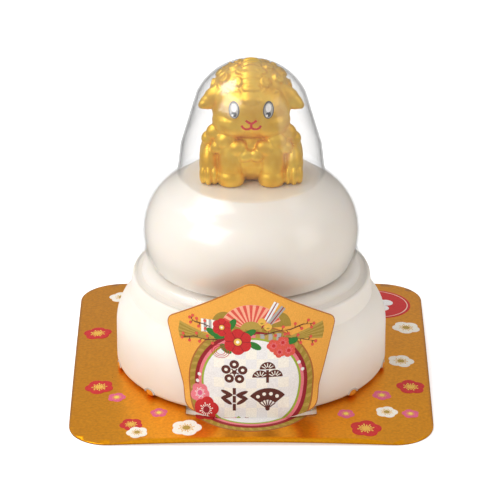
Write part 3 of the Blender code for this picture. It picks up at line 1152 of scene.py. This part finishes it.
@dataclass
class BasePrint:
    """The plum blossoms and the red seal on the card's base."""

    card: FoldedCard
    seal_centre: Point = (41.3, 41.5)
    seal_radius: float = 12.2

    def build(self, workshop: Workshop) -> None:
        """Prints the whole base.

        Args:
            workshop: What finishes the pieces and keeps their materials.
        """
        sheet = InkSheet("base_print", BaseSurface(self.card), "gold_card")
        places = (
            (Bloom.RED, (-50.6, 18.0), 9.3), (Bloom.RED, (-48.6, -21.5), 9.3),
            (Bloom.PINK, (-42.8, -29.0), 5.8), (Bloom.PINK, (-29.1, -40.0), 5.5),
            (Bloom.RED, (-37.7, -46.7), 7.4), (Bloom.WHITE, (-20.3, -49.8), 9.6),
            (Bloom.WHITE, (-43.7, 47.6), 8.4), (Bloom.WHITE, (51.3, 22.7), 9.3),
            (Bloom.WHITE, (48.6, -3.3), 8.6), (Bloom.RED, (51.1, -21.1), 9.3),
            (Bloom.PINK, (41.6, -27.7), 6.1), (Bloom.WHITE, (42.8, -38.5), 7.1),
            (Bloom.PINK, (50.3, -38.9), 5.5), (Bloom.PINK, (29.9, -40.6), 5.5),
            (Bloom.RED, (35.9, -49.3), 10.0))
        for index, (bloom, centre, size) in enumerate(places):
            blossom(sheet, bloom, centre, size, 90.0 + 25.0 * index)
        blossom(sheet, Bloom.WHITE, (-35.7, -51.9), 6.8, 40.0, 3.4)
        self.seal(sheet)
        sheet.finish(workshop)

    def seal(self, sheet: InkSheet) -> None:
        """Prints the round seal with a ring, a crest and three small leaves.

        Args:
            sheet: The sheet that it is printed on.
        """
        centre, radius = self.seal_centre, self.seal_radius
        sheet.dot(Ink.RED, centre, radius, 1.0, 64)
        sheet.sweep(Ink.BLUSH, centre, radius * 0.9, radius * 0.925, 0.0, 360.0, 2.0)
        for index in range(5):
            way = 90.0 + 72.0 * index
            sheet.dot(Ink.WHITE, polar(centre, radius * 0.34, way), radius * 0.2,
                      2.0 + 0.12 * index)
        sheet.dot(Ink.WHITE, centre, radius * 0.12, 2.0)
        for index in range(-1, 2):
            leaf = polar(centre, radius * 0.98, 112.0 + 16.0 * index)
            sheet.disc(Ink.STRAW, leaf, (2.0, 0.7), 3.0 + 0.3 * index, 20.0 * index)


@dataclass
class FlapPrint:
    """The New Year wreath on the flap, with a fan, flowers and four crests.

    The last three values are the layers that the crests' parts lie on.
    """

    card: FoldedCard
    centre: Point = (0.0, 19.4)
    rope_radius: float = 19.9
    red_radius: float = 18.1
    pink_radius: float = 16.9
    green_radius: float = 15.9
    disc_radius: float = 15.2
    strands: int = 44
    check_count: int = 9
    border: float = 0.3
    crest: float = 4.0
    crest_heart: float = 4.2
    crest_light: float = 4.6

    def build(self, workshop: Workshop) -> None:
        """Prints the whole flap.

        Args:
            workshop: What finishes the pieces and keeps their materials.
        """
        surface = FlapSurface(self.card)
        sheet = InkSheet("flap_print", surface, "gold_card")
        for ink, border, layer in ((Ink.RUST, 0.0, 0.2), (Ink.GROUND, self.border, 0.5)):
            ground = self.card.flap_pattern()
            bmesh.ops.translate(ground, verts=ground.verts,
                                vec=(0.0, surface.fold_place, 0.0))
            if border:
                rims = bmesh.ops.inset_region(ground, faces=ground.faces[:],
                                              thickness=border, use_boundary=True)
                bmesh.ops.delete(ground, geom=rims["faces"], context="FACES")
            sheet.add(ink, ground, layer)
        self.straw(sheet)
        self.wreath(sheet)
        self.crests(sheet)
        self.fan(sheet)
        self.arrows(sheet)
        self.flowers(sheet)
        sheet.finish(workshop)

    def wreath(self, sheet: InkSheet) -> None:
        """Prints the rope, the coloured rings and the white disc.

        Args:
            sheet: The sheet that it is printed on.
        """
        sheet.sweep(Ink.RUST, self.centre, self.rope_radius, self.rope_radius + 0.45,
                    0.0, 360.0, 0.8)
        sheet.sweep(Ink.OLIVE, self.centre, self.red_radius - 0.2, self.rope_radius,
                    0.0, 360.0, 1.2)
        middle = (self.rope_radius + self.red_radius) / 2
        for index in range(self.strands):
            way = 360.0 * index / self.strands
            sheet.disc(Ink.STRAW, polar(self.centre, middle, way), (1.05, 0.5), 2.0,
                       way + 38.0, 12)
        rings = ((Ink.CRIMSON, self.red_radius, 2.2), (Ink.PINK, self.pink_radius, 2.5),
                 (Ink.LIME, self.green_radius, 2.8), (Ink.WHITE, self.disc_radius, 3.1))
        for ink, radius, layer in rings:
            sheet.dot(ink, self.centre, radius, layer, 90)
        self.checks(sheet)
        for berry in ((-16.6, 21.3), (-17.2, 18.9), (15.2, 25.7), (16.4, 23.1)):
            sheet.dot(Ink.WHITE, berry, 0.6, 3.4, 12)

    def checks(self, sheet: InkSheet) -> None:
        """Prints the faint checks that fill the white disc.

        Args:
            sheet: The sheet that it is printed on.
        """
        step = 2 * self.disc_radius / self.check_count
        half = step / 2
        for row in range(self.check_count):
            for column in range(self.check_count):
                place = ((column + 0.5) * step - self.disc_radius,
                         (row + 0.5) * step - self.disc_radius)
                inside = math.hypot(*place) < self.disc_radius - step * 0.6
                if (row + column) % 2 and inside:
                    middle = (self.centre[0] + place[0], self.centre[1] + place[1])
                    sheet.outline(Ink.CREAM, [
                        (middle[0] + dx * half, middle[1] + dy * half)
                        for dx, dy in ((-1, -1), (1, -1), (1, 1), (-1, 1))], 3.4)

    def crests(self, sheet: InkSheet) -> None:
        """Prints a plum, a pine, a bamboo and a fan crest.

        Args:
            sheet: The sheet that it is printed on.
        """
        self.plum_crest(sheet, (-5.3, 23.2))
        self.pine_crest(sheet, (5.1, 23.2))
        self.bamboo_crest(sheet, (-5.3, 13.9))
        self.fan_crest(sheet, (5.1, 13.9))

    def plum_crest(self, sheet: InkSheet, centre: Point) -> None:
        """Prints five round petals round a heart.

        Args:
            sheet: The sheet that it is printed on.
            centre: Its centre on the pattern.
        """
        for index in range(5):
            way = 90.0 + 72.0 * index
            petal = polar(centre, 2.75, way)
            sheet.dot(Ink.BROWN, petal, 1.5, self.crest)
            sheet.dot(Ink.CREAM, petal, 0.55, self.crest_light, 12)
            sheet.stroke(Ink.BROWN, [centre, polar(centre, 1.5, way + 36.0)], 0.4, self.crest)
        sheet.dot(Ink.BROWN, centre, 0.75, self.crest_heart, 14)

    def pine_crest(self, sheet: InkSheet, centre: Point) -> None:
        """Prints three fans of needles over a trunk.

        Args:
            sheet: The sheet that it is printed on.
            centre: Its centre on the pattern.
        """
        for place in ((0.0, 1.1), (-2.3, -1.7), (2.3, -1.7)):
            spot = (centre[0] + place[0], centre[1] + place[1])
            sheet.sweep(Ink.BROWN, spot, 0.05, 2.5, 0.0, 180.0, self.crest)
            for index in range(5):
                way = 30.0 + 30.0 * index
                sheet.stroke(Ink.CREAM, [polar(spot, 0.7, way), polar(spot, 2.1, way)], 0.25,
                             self.crest_light)
        sheet.stroke(Ink.BROWN, [(centre[0], centre[1] + 0.8), (centre[0], centre[1] - 3.6)],
                     0.9, self.crest)

    def bamboo_crest(self, sheet: InkSheet, centre: Point) -> None:
        """Prints a jointed stem with leaves.

        Args:
            sheet: The sheet that it is printed on.
            centre: Its centre on the pattern.
        """
        for index in range(3):
            low = centre[1] - 3.9 + 2.7 * index
            sheet.stroke(Ink.BROWN, [(centre[0], low), (centre[0], low + 2.3)], 1.0,
                         self.crest)
        for side in (-1, 1):
            for height, lean in ((2.0, 24.0), (-0.7, 34.0), (0.8, -22.0)):
                spot = (centre[0] + side * 2.4, centre[1] + height)
                sheet.disc(Ink.BROWN, spot, (2.0, 0.62), self.crest, side * lean, 16)

    def fan_crest(self, sheet: InkSheet, centre: Point) -> None:
        """Prints a small open fan.

        Args:
            sheet: The sheet that it is printed on.
            centre: Its centre on the pattern.
        """
        pivot = (centre[0], centre[1] - 3.2)
        start, opening, ribs = 38.0, 104.0, 6
        sheet.sweep(Ink.BROWN, pivot, 3.0, 7.0, start, start + opening, self.crest)
        for index in range(ribs):
            way = start + opening * index / (ribs - 1)
            sheet.stroke(Ink.BROWN, [pivot, polar(pivot, 3.1, way)], 0.35, self.crest)
        for index in range(4):
            way = 54.0 + 24.0 * index
            sheet.dot(Ink.CREAM, polar(pivot, 5.1, way), 0.6, self.crest_light, 12)
        sheet.dot(Ink.BROWN, pivot, 0.7, self.crest_heart, 12)

    def fan(self, sheet: InkSheet) -> None:
        """Prints the pleated fan with its straw ribs, and two olive fans behind it.

        Args:
            sheet: The sheet that it is printed on.
        """
        pivot, outer, squash = (0.0, 37.6), 9.8, 0.92
        start, end, pleats = 20.0, 160.0, 11
        step = (end - start) / pleats
        for side in (-1, 1):
            sheet.sweep(Ink.OLIVE, (side * 8.4, 38.6), 0.1, 4.2, 0.0, 180.0, 1.2, 1.25)
        sheet.sweep(Ink.PEACH, pivot, 0.1, outer, start, end, 1.8, squash)
        for index in range(pleats):
            first = start + step * (index + 0.28)
            sheet.sweep(Ink.SCARLET, pivot, 2.4, outer - 0.1, first, first + step * 0.5, 2.2,
                        squash)
        sheet.sweep(Ink.STRAW, pivot, 0.3, 3.6, start, end, 2.5, squash)

    def straw(self, sheet: InkSheet) -> None:
        """Prints the straw tufts and the folded papers behind the flowers.

        Args:
            sheet: The sheet that it is printed on.
        """
        for side in (-1, 1):
            root = (side * 11.0, 34.4)
            for index in range(9):
                tip = (side * (23.9 - 0.12 * abs(index - 4)), 32.8 + 0.66 * index)
                middle = (side * 17.5, 33.9 + 0.3 * index)
                sheet.stroke(Ink.OLIVE if index % 2 else Ink.STRAW, [root, middle, tip], 0.72,
                             0.7 + 0.1 * index)
        for index in range(6):
            ink = Ink.GREY if index % 2 else Ink.CREAM
            first = -15.9 + 0.85 * index
            sheet.outline(ink, [(first, 36.2), (first + 0.85, 36.4), (first + 0.95, 40.6),
                                (first - 0.1, 40.8)], 1.9)
            first = 1.4 + 1.3 * index
            sheet.outline(ink if index % 2 else Ink.STRAW,
                          [(first, 33.2), (first + 1.3, 33.0), (first + 1.5, 36.4),
                           (first - 0.1, 36.6)], 2.6)

    def arrows(self, sheet: InkSheet) -> None:
        """Prints two arrow feathers and their shafts.

        Args:
            sheet: The sheet that it is printed on.
        """
        for ink, tip, root in ((Ink.WHITE, (7.9, 47.1), (4.6, 40.9)),
                               (Ink.GREY, (10.1, 45.3), (5.6, 40.0))):
            sheet.stroke(ink, [root, tip], 1.7, 3.0)
            sheet.stroke(Ink.CRIMSON, [(root[0] - 1.4, root[1] - 2.4), tip], 0.35, 3.5)

    def flowers(self, sheet: InkSheet) -> None:
        """Prints the camellias, bells, berries, leaves and cords.

        Args:
            sheet: The sheet that it is printed on.
        """
        for place, lean in (((-9.6, 35.6), 20.0), ((1.1, 32.5), -30.0), ((-6.1, 39.6), 60.0),
                            ((-12.2, 36.4), 150.0), ((-0.6, 36.8), 30.0),
                            ((12.6, 33.4), 10.0), ((-8.0, 31.2), -40.0)):
            sheet.disc(Ink.GREEN, place, (2.3, 1.1), 3.6, lean, 18)
        for centre, radius in (((-9.2, 38.5), 3.1), ((-4.2, 33.8), 4.5)):
            self.camellia(sheet, centre, radius)
        for place in ((3.3, 40.7), (5.2, 38.9)):
            sheet.dot(Ink.YELLOW, place, 1.25, 4.0, 18)
            sheet.dot(Ink.OLIVE, (place[0], place[1] - 0.5), 0.3, 4.5, 10)
            sheet.stroke(Ink.OLIVE, [(place[0] - 0.5, place[1] - 0.4),
                                     (place[0] + 0.5, place[1] - 0.4)], 0.2, 4.4)
        for centre, size in (((7.0, 32.3), 4.4), ((9.9, 33.2), 4.2), ((11.8, 30.3), 4.6),
                             ((8.9, 30.0), 4.0)):
            blossom(sheet, Bloom.CLUSTER, centre, size, 40.0, 4.0)
        self.branches(sheet)
        for radius in (1.5, 2.2, 2.9):
            sheet.sweep(Ink.RED, (-9.6, 30.2), radius - 0.22, radius, 0.0, 360.0, 3.6, 0.8)
        blossom(sheet, Bloom.FLAP_PINK, (-16.3, 15.1), 6.2, 60.0, 4.0)
        blossom(sheet, Bloom.FLAP_RED, (-14.1, 10.3), 7.8, 80.0, 5.2)

    def camellia(self, sheet: InkSheet, centre: Point, radius: float) -> None:
        """Prints a full red flower with a yellow tuft.

        Args:
            sheet: The sheet that it is printed on.
            centre: Its centre on the pattern.
            radius: Its radius.
        """
        for index in range(6):
            way = 30.0 + 60.0 * index
            sheet.disc(Ink.RED, polar(centre, radius * 0.48, way),
                       (radius * 0.52, radius * 0.5), 4.0 + 0.15 * index, way, 20)
            sheet.sweep(Ink.CRIMSON, centre, radius * 0.3, radius * 0.82, way + 28.0,
                        way + 32.0, 5.2)
        sheet.dot(Ink.CRIMSON, centre, radius * 0.34, 5.3)
        sheet.dot(Ink.YELLOW, centre, radius * 0.27, 5.7)
        sheet.dot(Ink.CREAM, centre, radius * 0.12, 6.0, 12)

    def branches(self, sheet: InkSheet) -> None:
        """Prints two twigs of berries on each side.

        Args:
            sheet: The sheet that it is printed on.
        """
        twigs = (((-13.0, 38.3), (-15.5, 39.0), (-18.0, 39.2), (-19.8, 40.4)),
                 ((-10.6, 34.2), (-14.4, 33.6), (-18.4, 34.2), (-22.5, 32.9)),
                 ((3.9, 36.2), (8.0, 37.2), (12.4, 37.4), (16.4, 38.6), (20.2, 38.2)),
                 ((8.5, 35.0), (12.6, 34.4), (16.8, 33.4), (20.9, 31.9)))
        for twig in twigs:
            sheet.stroke(Ink.BROWN, twig, 0.3, 2.9)
            for first, last in zip(twig, twig[1:]):
                lean = Vector(last) - Vector(first)
                off = lean.normalized().orthogonal() * 1.25
                for share, side in ((0.35, 1.0), (0.7, -1.0)):
                    spot = Vector(first) + lean * share
                    berry = tuple(spot + off * side + lean * 0.12)
                    sheet.stroke(Ink.BROWN, [tuple(spot), berry], 0.2, 2.9)
                    sheet.dot(Ink.SCARLET, berry, 0.52, 3.4, 12)
            sheet.dot(Ink.SCARLET, twig[-1], 0.55, 3.4, 12)


# ---------------------------------------------------------------- the figure

@dataclass(frozen=True)
class Lump:
    """One rounded form of the figure, with its tilt in degrees."""

    place: Place
    radii: Place
    tilt: Place = (0.0, 0.0, 0.0)
    paired: bool = False


@dataclass
class FaceSurface:
    """The front of the figure, as a surface to paint on."""

    tree: BVHTree
    step: float = 0.6
    chin: float = 83.5

    def on_front(self, point: Vector) -> Vector:
        """Lays a point, given as across, up and height, on the figure's front."""
        hit = self.tree.ray_cast(Vector((point.x, -60.0, point.y)), Vector((0.0, 1.0, 0.0)))
        return hit[0] - Vector((0.0, point.z, 0.0))

    def patches(self) -> list[Patch]:
        """The whole front."""
        return [Patch(self.on_front)]

    def cuts(self) -> list[Plane]:
        """Close lines both ways, so that paint follows the form."""
        return ([across_x(index * self.step) for index in range(-13, 14)]
                + [across_y(self.chin + index * self.step) for index in range(25)])


@dataclass
class SheepFigure:
    """The gold sheep that sits on the upper cake."""

    base: float = 66.85
    grain: float = 0.27
    cap_centre: Place = (0.0, 2.4, 28.4)
    cap_radii: Place = (10.9, 9.7, 7.6)
    trunk_centre: Place = (0.0, 1.2, 9.5)
    trunk_radii: Place = (11.8, 9.6, 9.2)

    def lumps(self) -> list[Lump]:
        """The figure's main forms.

        Returns:
            The forms, measured from the figure's base.
        """
        return [
            # The trunk, the head, the cheeks and the woolly cap.
            Lump((0.0, 1.0, 9.0), (12.2, 10.2, 10.6)),
            Lump((0.0, -1.6, 24.2), (12.6, 9.6, 10.8)),
            Lump((5.2, -3.2, 20.4), (7.2, 7.2, 5.9), paired=True),
            Lump(self.cap_centre, (12.2, 10.8, 8.6)),
            # The ears, from root to tip.
            Lump((10.8, -2.0, 27.6), (4.6, 2.4, 3.6), (0.0, 28.0, 8.0), True),
            Lump((13.0, -2.2, 26.2), (3.6, 1.7, 2.6), (0.0, 30.0, 8.0), True),
            Lump((14.7, -2.4, 25.3), (2.2, 1.3, 1.6), (0.0, 30.0, 8.0), True),
            # The haunches, the hind legs, the forelegs, the forefeet and the tail.
            Lump((11.6, 1.6, 6.2), (4.9, 8.0, 8.2), paired=True),
            Lump((13.3, -3.6, 5.6), (3.2, 4.4, 6.6), paired=True),
            Lump((6.3, -5.6, 7.4), (4.3, 4.6, 9.8), paired=True),
            Lump((6.4, -6.3, 2.0), (4.5, 4.4, 4.2), paired=True),
            Lump((0.0, 10.8, 8.6), (2.6, 2.6, 3.2)),
        ]

    def lump(self, mesh_data: bmesh.types.BMesh, form: Lump) -> None:
        """Adds a form, and its mirror image where it is one of a pair.

        Args:
            mesh_data: The mesh that it is added to.
            form: The form.
        """
        for side in ((1, -1) if form.paired else (1,)):
            x, y, z = form.place
            turns = [math.radians(angle) for angle in form.tilt]
            place = Matrix.Translation((side * x, y, z))
            place @= Matrix.Rotation(side * turns[2], 4, "Z")
            place @= Matrix.Rotation(side * turns[1], 4, "Y")
            place @= Matrix.Rotation(turns[0], 4, "X")
            bmesh.ops.create_icosphere(mesh_data, subdivisions=3, radius=1.0,
                                       matrix=place @ Matrix.Diagonal((*form.radii, 1.0)))

    def curl(self, mesh_data: bmesh.types.BMesh, place: Vector, out: Vector, size: float,
             twist: float) -> None:
        """Adds a puff of wool with a raised curl on it.

        Args:
            mesh_data: What it is added to.
            place: Its centre.
            out: The way it faces.
            size: Its radius.
            twist: Where the curl starts, in degrees.
        """
        seat = (Matrix.Translation(place) @ out.to_track_quat("Z", "Y").to_matrix().to_4x4()
                @ Matrix.Rotation(math.radians(twist), 4, "Z"))
        bmesh.ops.create_icosphere(mesh_data, subdivisions=2, radius=1.0,
                                   matrix=seat @ Matrix.Diagonal((size, size, size * 0.8, 1.0)))
        tube = bmesh.new()
        ring = bmesh.ops.create_circle(tube, cap_ends=True, segments=8, radius=size * 0.24)
        bmesh.ops.rotate(tube, verts=ring["verts"], cent=(0, 0, 0),
                         matrix=Matrix.Rotation(math.radians(90.0), 3, "X"))
        bmesh.ops.translate(tube, verts=ring["verts"], vec=(size * 0.55, 0.0, size * 0.6))
        bmesh.ops.spin(tube, geom=tube.faces[:], cent=(0, 0, 0), axis=(0, 0, 1),
                       angle=math.radians(250.0), steps=12)
        bmesh.ops.recalc_face_normals(tube, faces=tube.faces)
        bmesh.ops.transform(tube, matrix=seat, verts=tube.verts)
        pour(tube, mesh_data)

    def curls_round(self, mesh_data: bmesh.types.BMesh, centre: Sequence[float],
                    radii: Sequence[float], rise: float, ways: Sequence[float],
                    size: float) -> None:
        """Adds a row of curls round a rounded form.

        Args:
            mesh_data: What they are added to.
            centre: The form's centre.
            radii: The form's half sizes.
            rise: The row's angle above the form's middle, in degrees.
            ways: Each curl's angle from the front, in degrees.
            size: Each curl's radius.
        """
        level = math.radians(rise)
        for index, way in enumerate(ways):
            swing = math.radians(way)
            unit = Vector((math.sin(swing) * math.cos(level),
                           -math.cos(swing) * math.cos(level), math.sin(level)))
            spot = Vector(centre) + Vector([a * b for a, b in zip(unit, radii)])
            out = Vector([a / b for a, b in zip(unit, radii)]).normalized()
            self.curl(mesh_data, spot, out, size, 70.0 * index + rise)

    def wool(self, mesh_data: bmesh.types.BMesh) -> None:
        """Adds the wool of the cap, the forelock, the chest and the back.

        Args:
            mesh_data: The mesh that it is added to.
        """
        cap, radii = self.cap_centre, self.cap_radii
        cap_rows = ((8.0, 40.0, 28.0, 11, 2.5), (13.0, -22.0, 44.0, 2, 2.3),
                    (36.0, 28.0, 33.8, 10, 2.5), (62.0, 35.0, 48.3, 7, 2.3))
        for rise, first, apart, count, size in cap_rows:
            ways = [first + apart * step for step in range(count)]
            self.curls_round(mesh_data, cap, radii, rise, ways, size)
        # Flat locks down the middle of the cap, from the brow to the crown.
        for step in range(7):
            level = math.radians(14.0 + 14.0 * step)
            spot = Vector((0.0, cap[1] - radii[1] * math.cos(level) * 1.08,
                           cap[2] + radii[2] * math.sin(level) * 1.08))
            self.lump(mesh_data, Lump(tuple(spot), (3.3, 2.0, 1.5),
                                      (math.degrees(level) - 15.0, 0.0, 0.0)))
        # The forelock.
        self.lump(mesh_data, Lump((0.0, -8.6, 29.0), (3.6, 2.2, 2.3)))
        self.lump(mesh_data, Lump((0.2, -9.1, 27.3), (2.3, 1.5, 1.9)))
        chest = ((11.3, -4.6, 16.9, 3.1), (7.9, -7.0, 14.9, 3.3), (12.9, -2.6, 14.0, 3.0),
                 (4.3, -8.3, 12.7, 3.1), (10.2, -6.2, 12.4, 2.8), (1.7, -8.9, 10.4, 2.5))
        for x, y, z, size in chest:
            self.lump(mesh_data, Lump((x, y, z), (size, size * 0.72, size * 0.86),
                                      (0.0, 24.0, 0.0), True))
        first, last = 80.0, 280.0
        for rise, count in ((-25.0, 7), (5.0, 8), (35.0, 7), (60.0, 4)):
            ways = [first + (last - first) * step / (count - 1) for step in range(count)]
            self.curls_round(mesh_data, self.trunk_centre, self.trunk_radii, rise, ways, 2.6)

    def feet(self, mesh_data: bmesh.types.BMesh) -> None:
        """Adds three toes to each hind foot."""
        for x, y in ((11.6, -6.6), (13.5, -7.0), (15.2, -5.8)):
            self.lump(mesh_data, Lump((x, y, 2.6), (1.25, 2.2, 3.4), (8.0, 0.0, 0.0), True))

    def fuse(self, mesh_data: bmesh.types.BMesh) -> bmesh.types.BMesh:
        """Unites overlapping forms into one skin and flattens its underside.

        Args:
            mesh_data: The forms, which are freed.

        Returns:
            The skin.
        """
        rough = bpy.data.meshes.new("rough")
        mesh_data.to_mesh(rough)
        mesh_data.free()
        blank = bpy.data.objects.new("rough", rough)
        bpy.context.scene.collection.objects.link(blank)
        remesh = blank.modifiers.new("skin", "REMESH")
        remesh.mode = "VOXEL"
        remesh.voxel_size = self.grain
        graph = bpy.context.evaluated_depsgraph_get()
        fused = bmesh.new()
        fused.from_object(blank, graph)
        bpy.data.objects.remove(blank, do_unlink=True)
        bpy.data.meshes.remove(rough)
        bmesh.ops.smooth_vert(fused, verts=fused.verts, factor=0.5, use_axis_x=True,
                              use_axis_y=True, use_axis_z=True)
        bmesh.ops.bisect_plane(fused, geom=whole(fused), dist=CLOSE,
                               plane_co=(0.0, 0.0, 0.0), plane_no=(0.0, 0.0, -1.0),
                               clear_outer=True)
        rim = [edge for edge in fused.edges if edge.is_boundary]
        bmesh.ops.holes_fill(fused, edges=rim)
        return fused

    def build(self, workshop: Workshop) -> None:
        """Builds the figure and paints its face.

        Args:
            workshop: What finishes the pieces and keeps their materials.
        """
        mesh_data = bmesh.new()
        for form in self.lumps():
            self.lump(mesh_data, form)
        self.feet(mesh_data)
        self.wool(mesh_data)
        figure = self.fuse(mesh_data)
        bmesh.ops.translate(figure, verts=figure.verts, vec=(0.0, 0.0, self.base))
        face = FaceSurface(BVHTree.FromBMesh(figure))
        item = workshop.put_out("sheep_body", figure, GoldPaint(), smooth=80.0)
        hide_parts("sheep_figure")
        paint = InkSheet("sheep_paint", face, "gold_figure")
        self.eyes(paint)
        self.mouth(paint)
        paint.finish(workshop)

    def eyes(self, paint: InkSheet) -> None:
        """Paints both eyes, dark rimmed with pale lights.

        Args:
            paint: The sheet that the paint is gathered on.
        """
        for side in (-1, 1):
            x, z = side * 5.4, self.base + 26.2
            paint.disc(Ink.CHARCOAL, (x, z), (1.7, 2.75), 2.0, segments=32)
            paint.disc(Ink.GREY, (x, z - 0.1), (1.38, 2.4), 3.0, segments=32)
            paint.disc(Ink.WHITE, (x, z + 0.7), (0.86, 1.3), 4.5, segments=28)
            paint.disc(Ink.CHARCOAL, (x, z - 1.3), (0.8, 0.85), 4.0, segments=20)
            paint.disc(Ink.WHITE, (x - 0.5, z - 1.65), (0.36, 0.4), 5.5, segments=14)

    def mouth(self, paint: InkSheet) -> None:
        """Paints the nose and mouth lines.

        Args:
            paint: The sheet that the paint is gathered on.
        """
        height, width = self.base + 1.2, 0.74
        for side in (-1, 1):
            paint.stroke(Ink.RED, [(side * 1.7, height + 21.9), (side * 0.8, height + 21.2),
                                   (0.0, height + 20.7)], width, 2.0)
            paint.stroke(Ink.RED, [(0.0, height + 19.3), (side * 0.8, height + 18.7),
                                   (side * 1.7, height + 18.6), (side * 2.6, height + 19.1),
                                   (side * 3.0, height + 20.0)], width, 2.2)
        paint.stroke(Ink.RED, [(0.0, height + 20.9), (0.0, height + 19.2)], width, 2.4)


# ---------------------------------------------------------------- the studio

@dataclass
class Studio:
    """The plain floor, the soft lights and the camera, in metres."""

    look: Place = (-0.00039, -0.0007, 0.0405)
    elevation: float = 24.5
    distance: float = 1.1638
    lens: float = 260.9
    lamp_aim: Place = (0.0, 0.0, 0.05)
    floor_radius: float = 6.0

    def floor(self) -> None:
        """Lays a wide pale floor that glossy pieces don't mirror."""
        sheet = bmesh.new()
        bmesh.ops.create_circle(sheet, cap_ends=True, segments=64,
                                radius=self.floor_radius)
        mesh = bpy.data.meshes.new("floor")
        sheet.to_mesh(mesh)
        sheet.free()
        item = bpy.data.objects.new("floor", mesh)
        bench = NodeBench("pale_floor")
        bench.settle({"Base Color": (0.93, 0.93, 0.93, 1.0), "Roughness": 0.9,
                      "Specular IOR Level": 0.0, "Emission Color": (1.0, 1.0, 1.0, 1.0),
                      "Emission Strength": 0.45})
        mesh.materials.append(bench.material)
        bpy.context.scene.collection.objects.link(item)
        item.visible_glossy = False

    def lamp(self, name: str, place: Place, size: Point, power: float,
             colour: Colour = (1.0, 1.0, 1.0)) -> None:
        """Hangs a soft rectangular lamp that faces the pack.

        Args:
            name: Its name.
            place: Where it hangs.
            size: Its width and height.
            power: Its power in watts.
            colour: The colour of its light.
        """
        light = bpy.data.lights.new(name, "AREA")
        light.shape = "RECTANGLE"
        light.size, light.size_y = size
        light.energy = power
        light.color = colour
        item = bpy.data.objects.new(name, light)
        item.location = place
        item.rotation_mode = "QUATERNION"
        aim = Vector(self.lamp_aim) - Vector(place)
        item.rotation_quaternion = aim.to_track_quat("-Z", "Y")
        bpy.context.scene.collection.objects.link(item)

    def lamps(self) -> None:
        """Hangs the key, fill and top lamps."""
        self.lamp("key", (-0.75, -0.55, 0.75), (0.75, 0.8), power=5.0)
        self.lamp("fill", (0.9, -0.4, 0.5), (0.5, 0.8), power=1.0, colour=(1.0, 0.93, 0.85))
        self.lamp("top", (-0.55, 0.12, 0.85), (0.4, 0.4), power=2.4)

    def world(self) -> None:
        """Surrounds the pack with a pale room that is darker low down."""
        world = bpy.data.worlds.new("room")
        world.use_nodes = True
        nodes, links = world.node_tree.nodes, world.node_tree.links
        room = nodes["Background"]
        direction = nodes.new("ShaderNodeTexCoord").outputs["Generated"]
        gradient = nodes.new("ShaderNodeValToRGB")
        height = nodes.new("ShaderNodeSeparateXYZ")
        links.new(direction, height.inputs["Vector"])
        links.new(height.outputs["Z"], gradient.inputs["Fac"])
        gradient.color_ramp.elements[0].color = (0.40, 0.37, 0.34, 1.0)
        gradient.color_ramp.elements[1].position = 0.75
        gradient.color_ramp.elements[1].color = (0.64, 0.64, 0.65, 1.0)
        links.new(gradient.outputs["Color"], room.inputs["Color"])
        backdrop = nodes.new("ShaderNodeBackground")
        backdrop.inputs["Strength"].default_value = 1.0
        backdrop.inputs["Color"].default_value = (1.0, 1.0, 1.0, 1.0)
        mixer = nodes.new("ShaderNodeMixShader")
        links.new(nodes.new("ShaderNodeLightPath").outputs["Is Camera Ray"],
                  mixer.inputs["Fac"])
        links.new(room.outputs["Background"], mixer.inputs[1])
        links.new(backdrop.outputs["Background"], mixer.inputs[2])
        links.new(mixer.outputs["Shader"], nodes["World Output"].inputs["Surface"])
        bpy.context.scene.world = world
        bpy.context.scene.view_settings.view_transform = "Standard"

    def camera(self) -> None:
        """Sets the camera in front, looking down on the pack."""
        data = bpy.data.cameras.new("camera")
        data.lens = self.lens
        data.sensor_width = 36.0
        data.clip_start, data.clip_end = 0.05, 50.0
        item = bpy.data.objects.new("camera", data)
        level = math.radians(self.elevation)
        back = Vector((0.0, -math.cos(level), math.sin(level)))
        item.location = Vector(self.look) + back * self.distance
        item.rotation_mode = "QUATERNION"
        item.rotation_quaternion = (-back).to_track_quat("-Z", "Y")
        bpy.context.scene.collection.objects.link(item)
        bpy.context.scene.camera = item

    def build(self) -> None:
        """Sets the whole studio."""
        self.floor()
        self.lamps()
        self.world()
        self.camera()


def main() -> None:
    """Builds every piece in order, then the studio; each piece logs its face count."""
    logging.basicConfig(level=logging.INFO, format="%(name)s: %(message)s")
    workshop = Workshop()
    cakes, cover, card = RiceCakes(), ClearCover(), FoldedCard()
    card.build(workshop)
    BasePrint(card).build(workshop)
    FlapPrint(card).build(workshop)
    cakes.lower(workshop)
    Lugs().build(workshop)
    cakes.upper(workshop, cover)
    SheepFigure().build(workshop)
    cover.build(workshop)
    Studio().build()


if __name__ == "__main__":
    main()
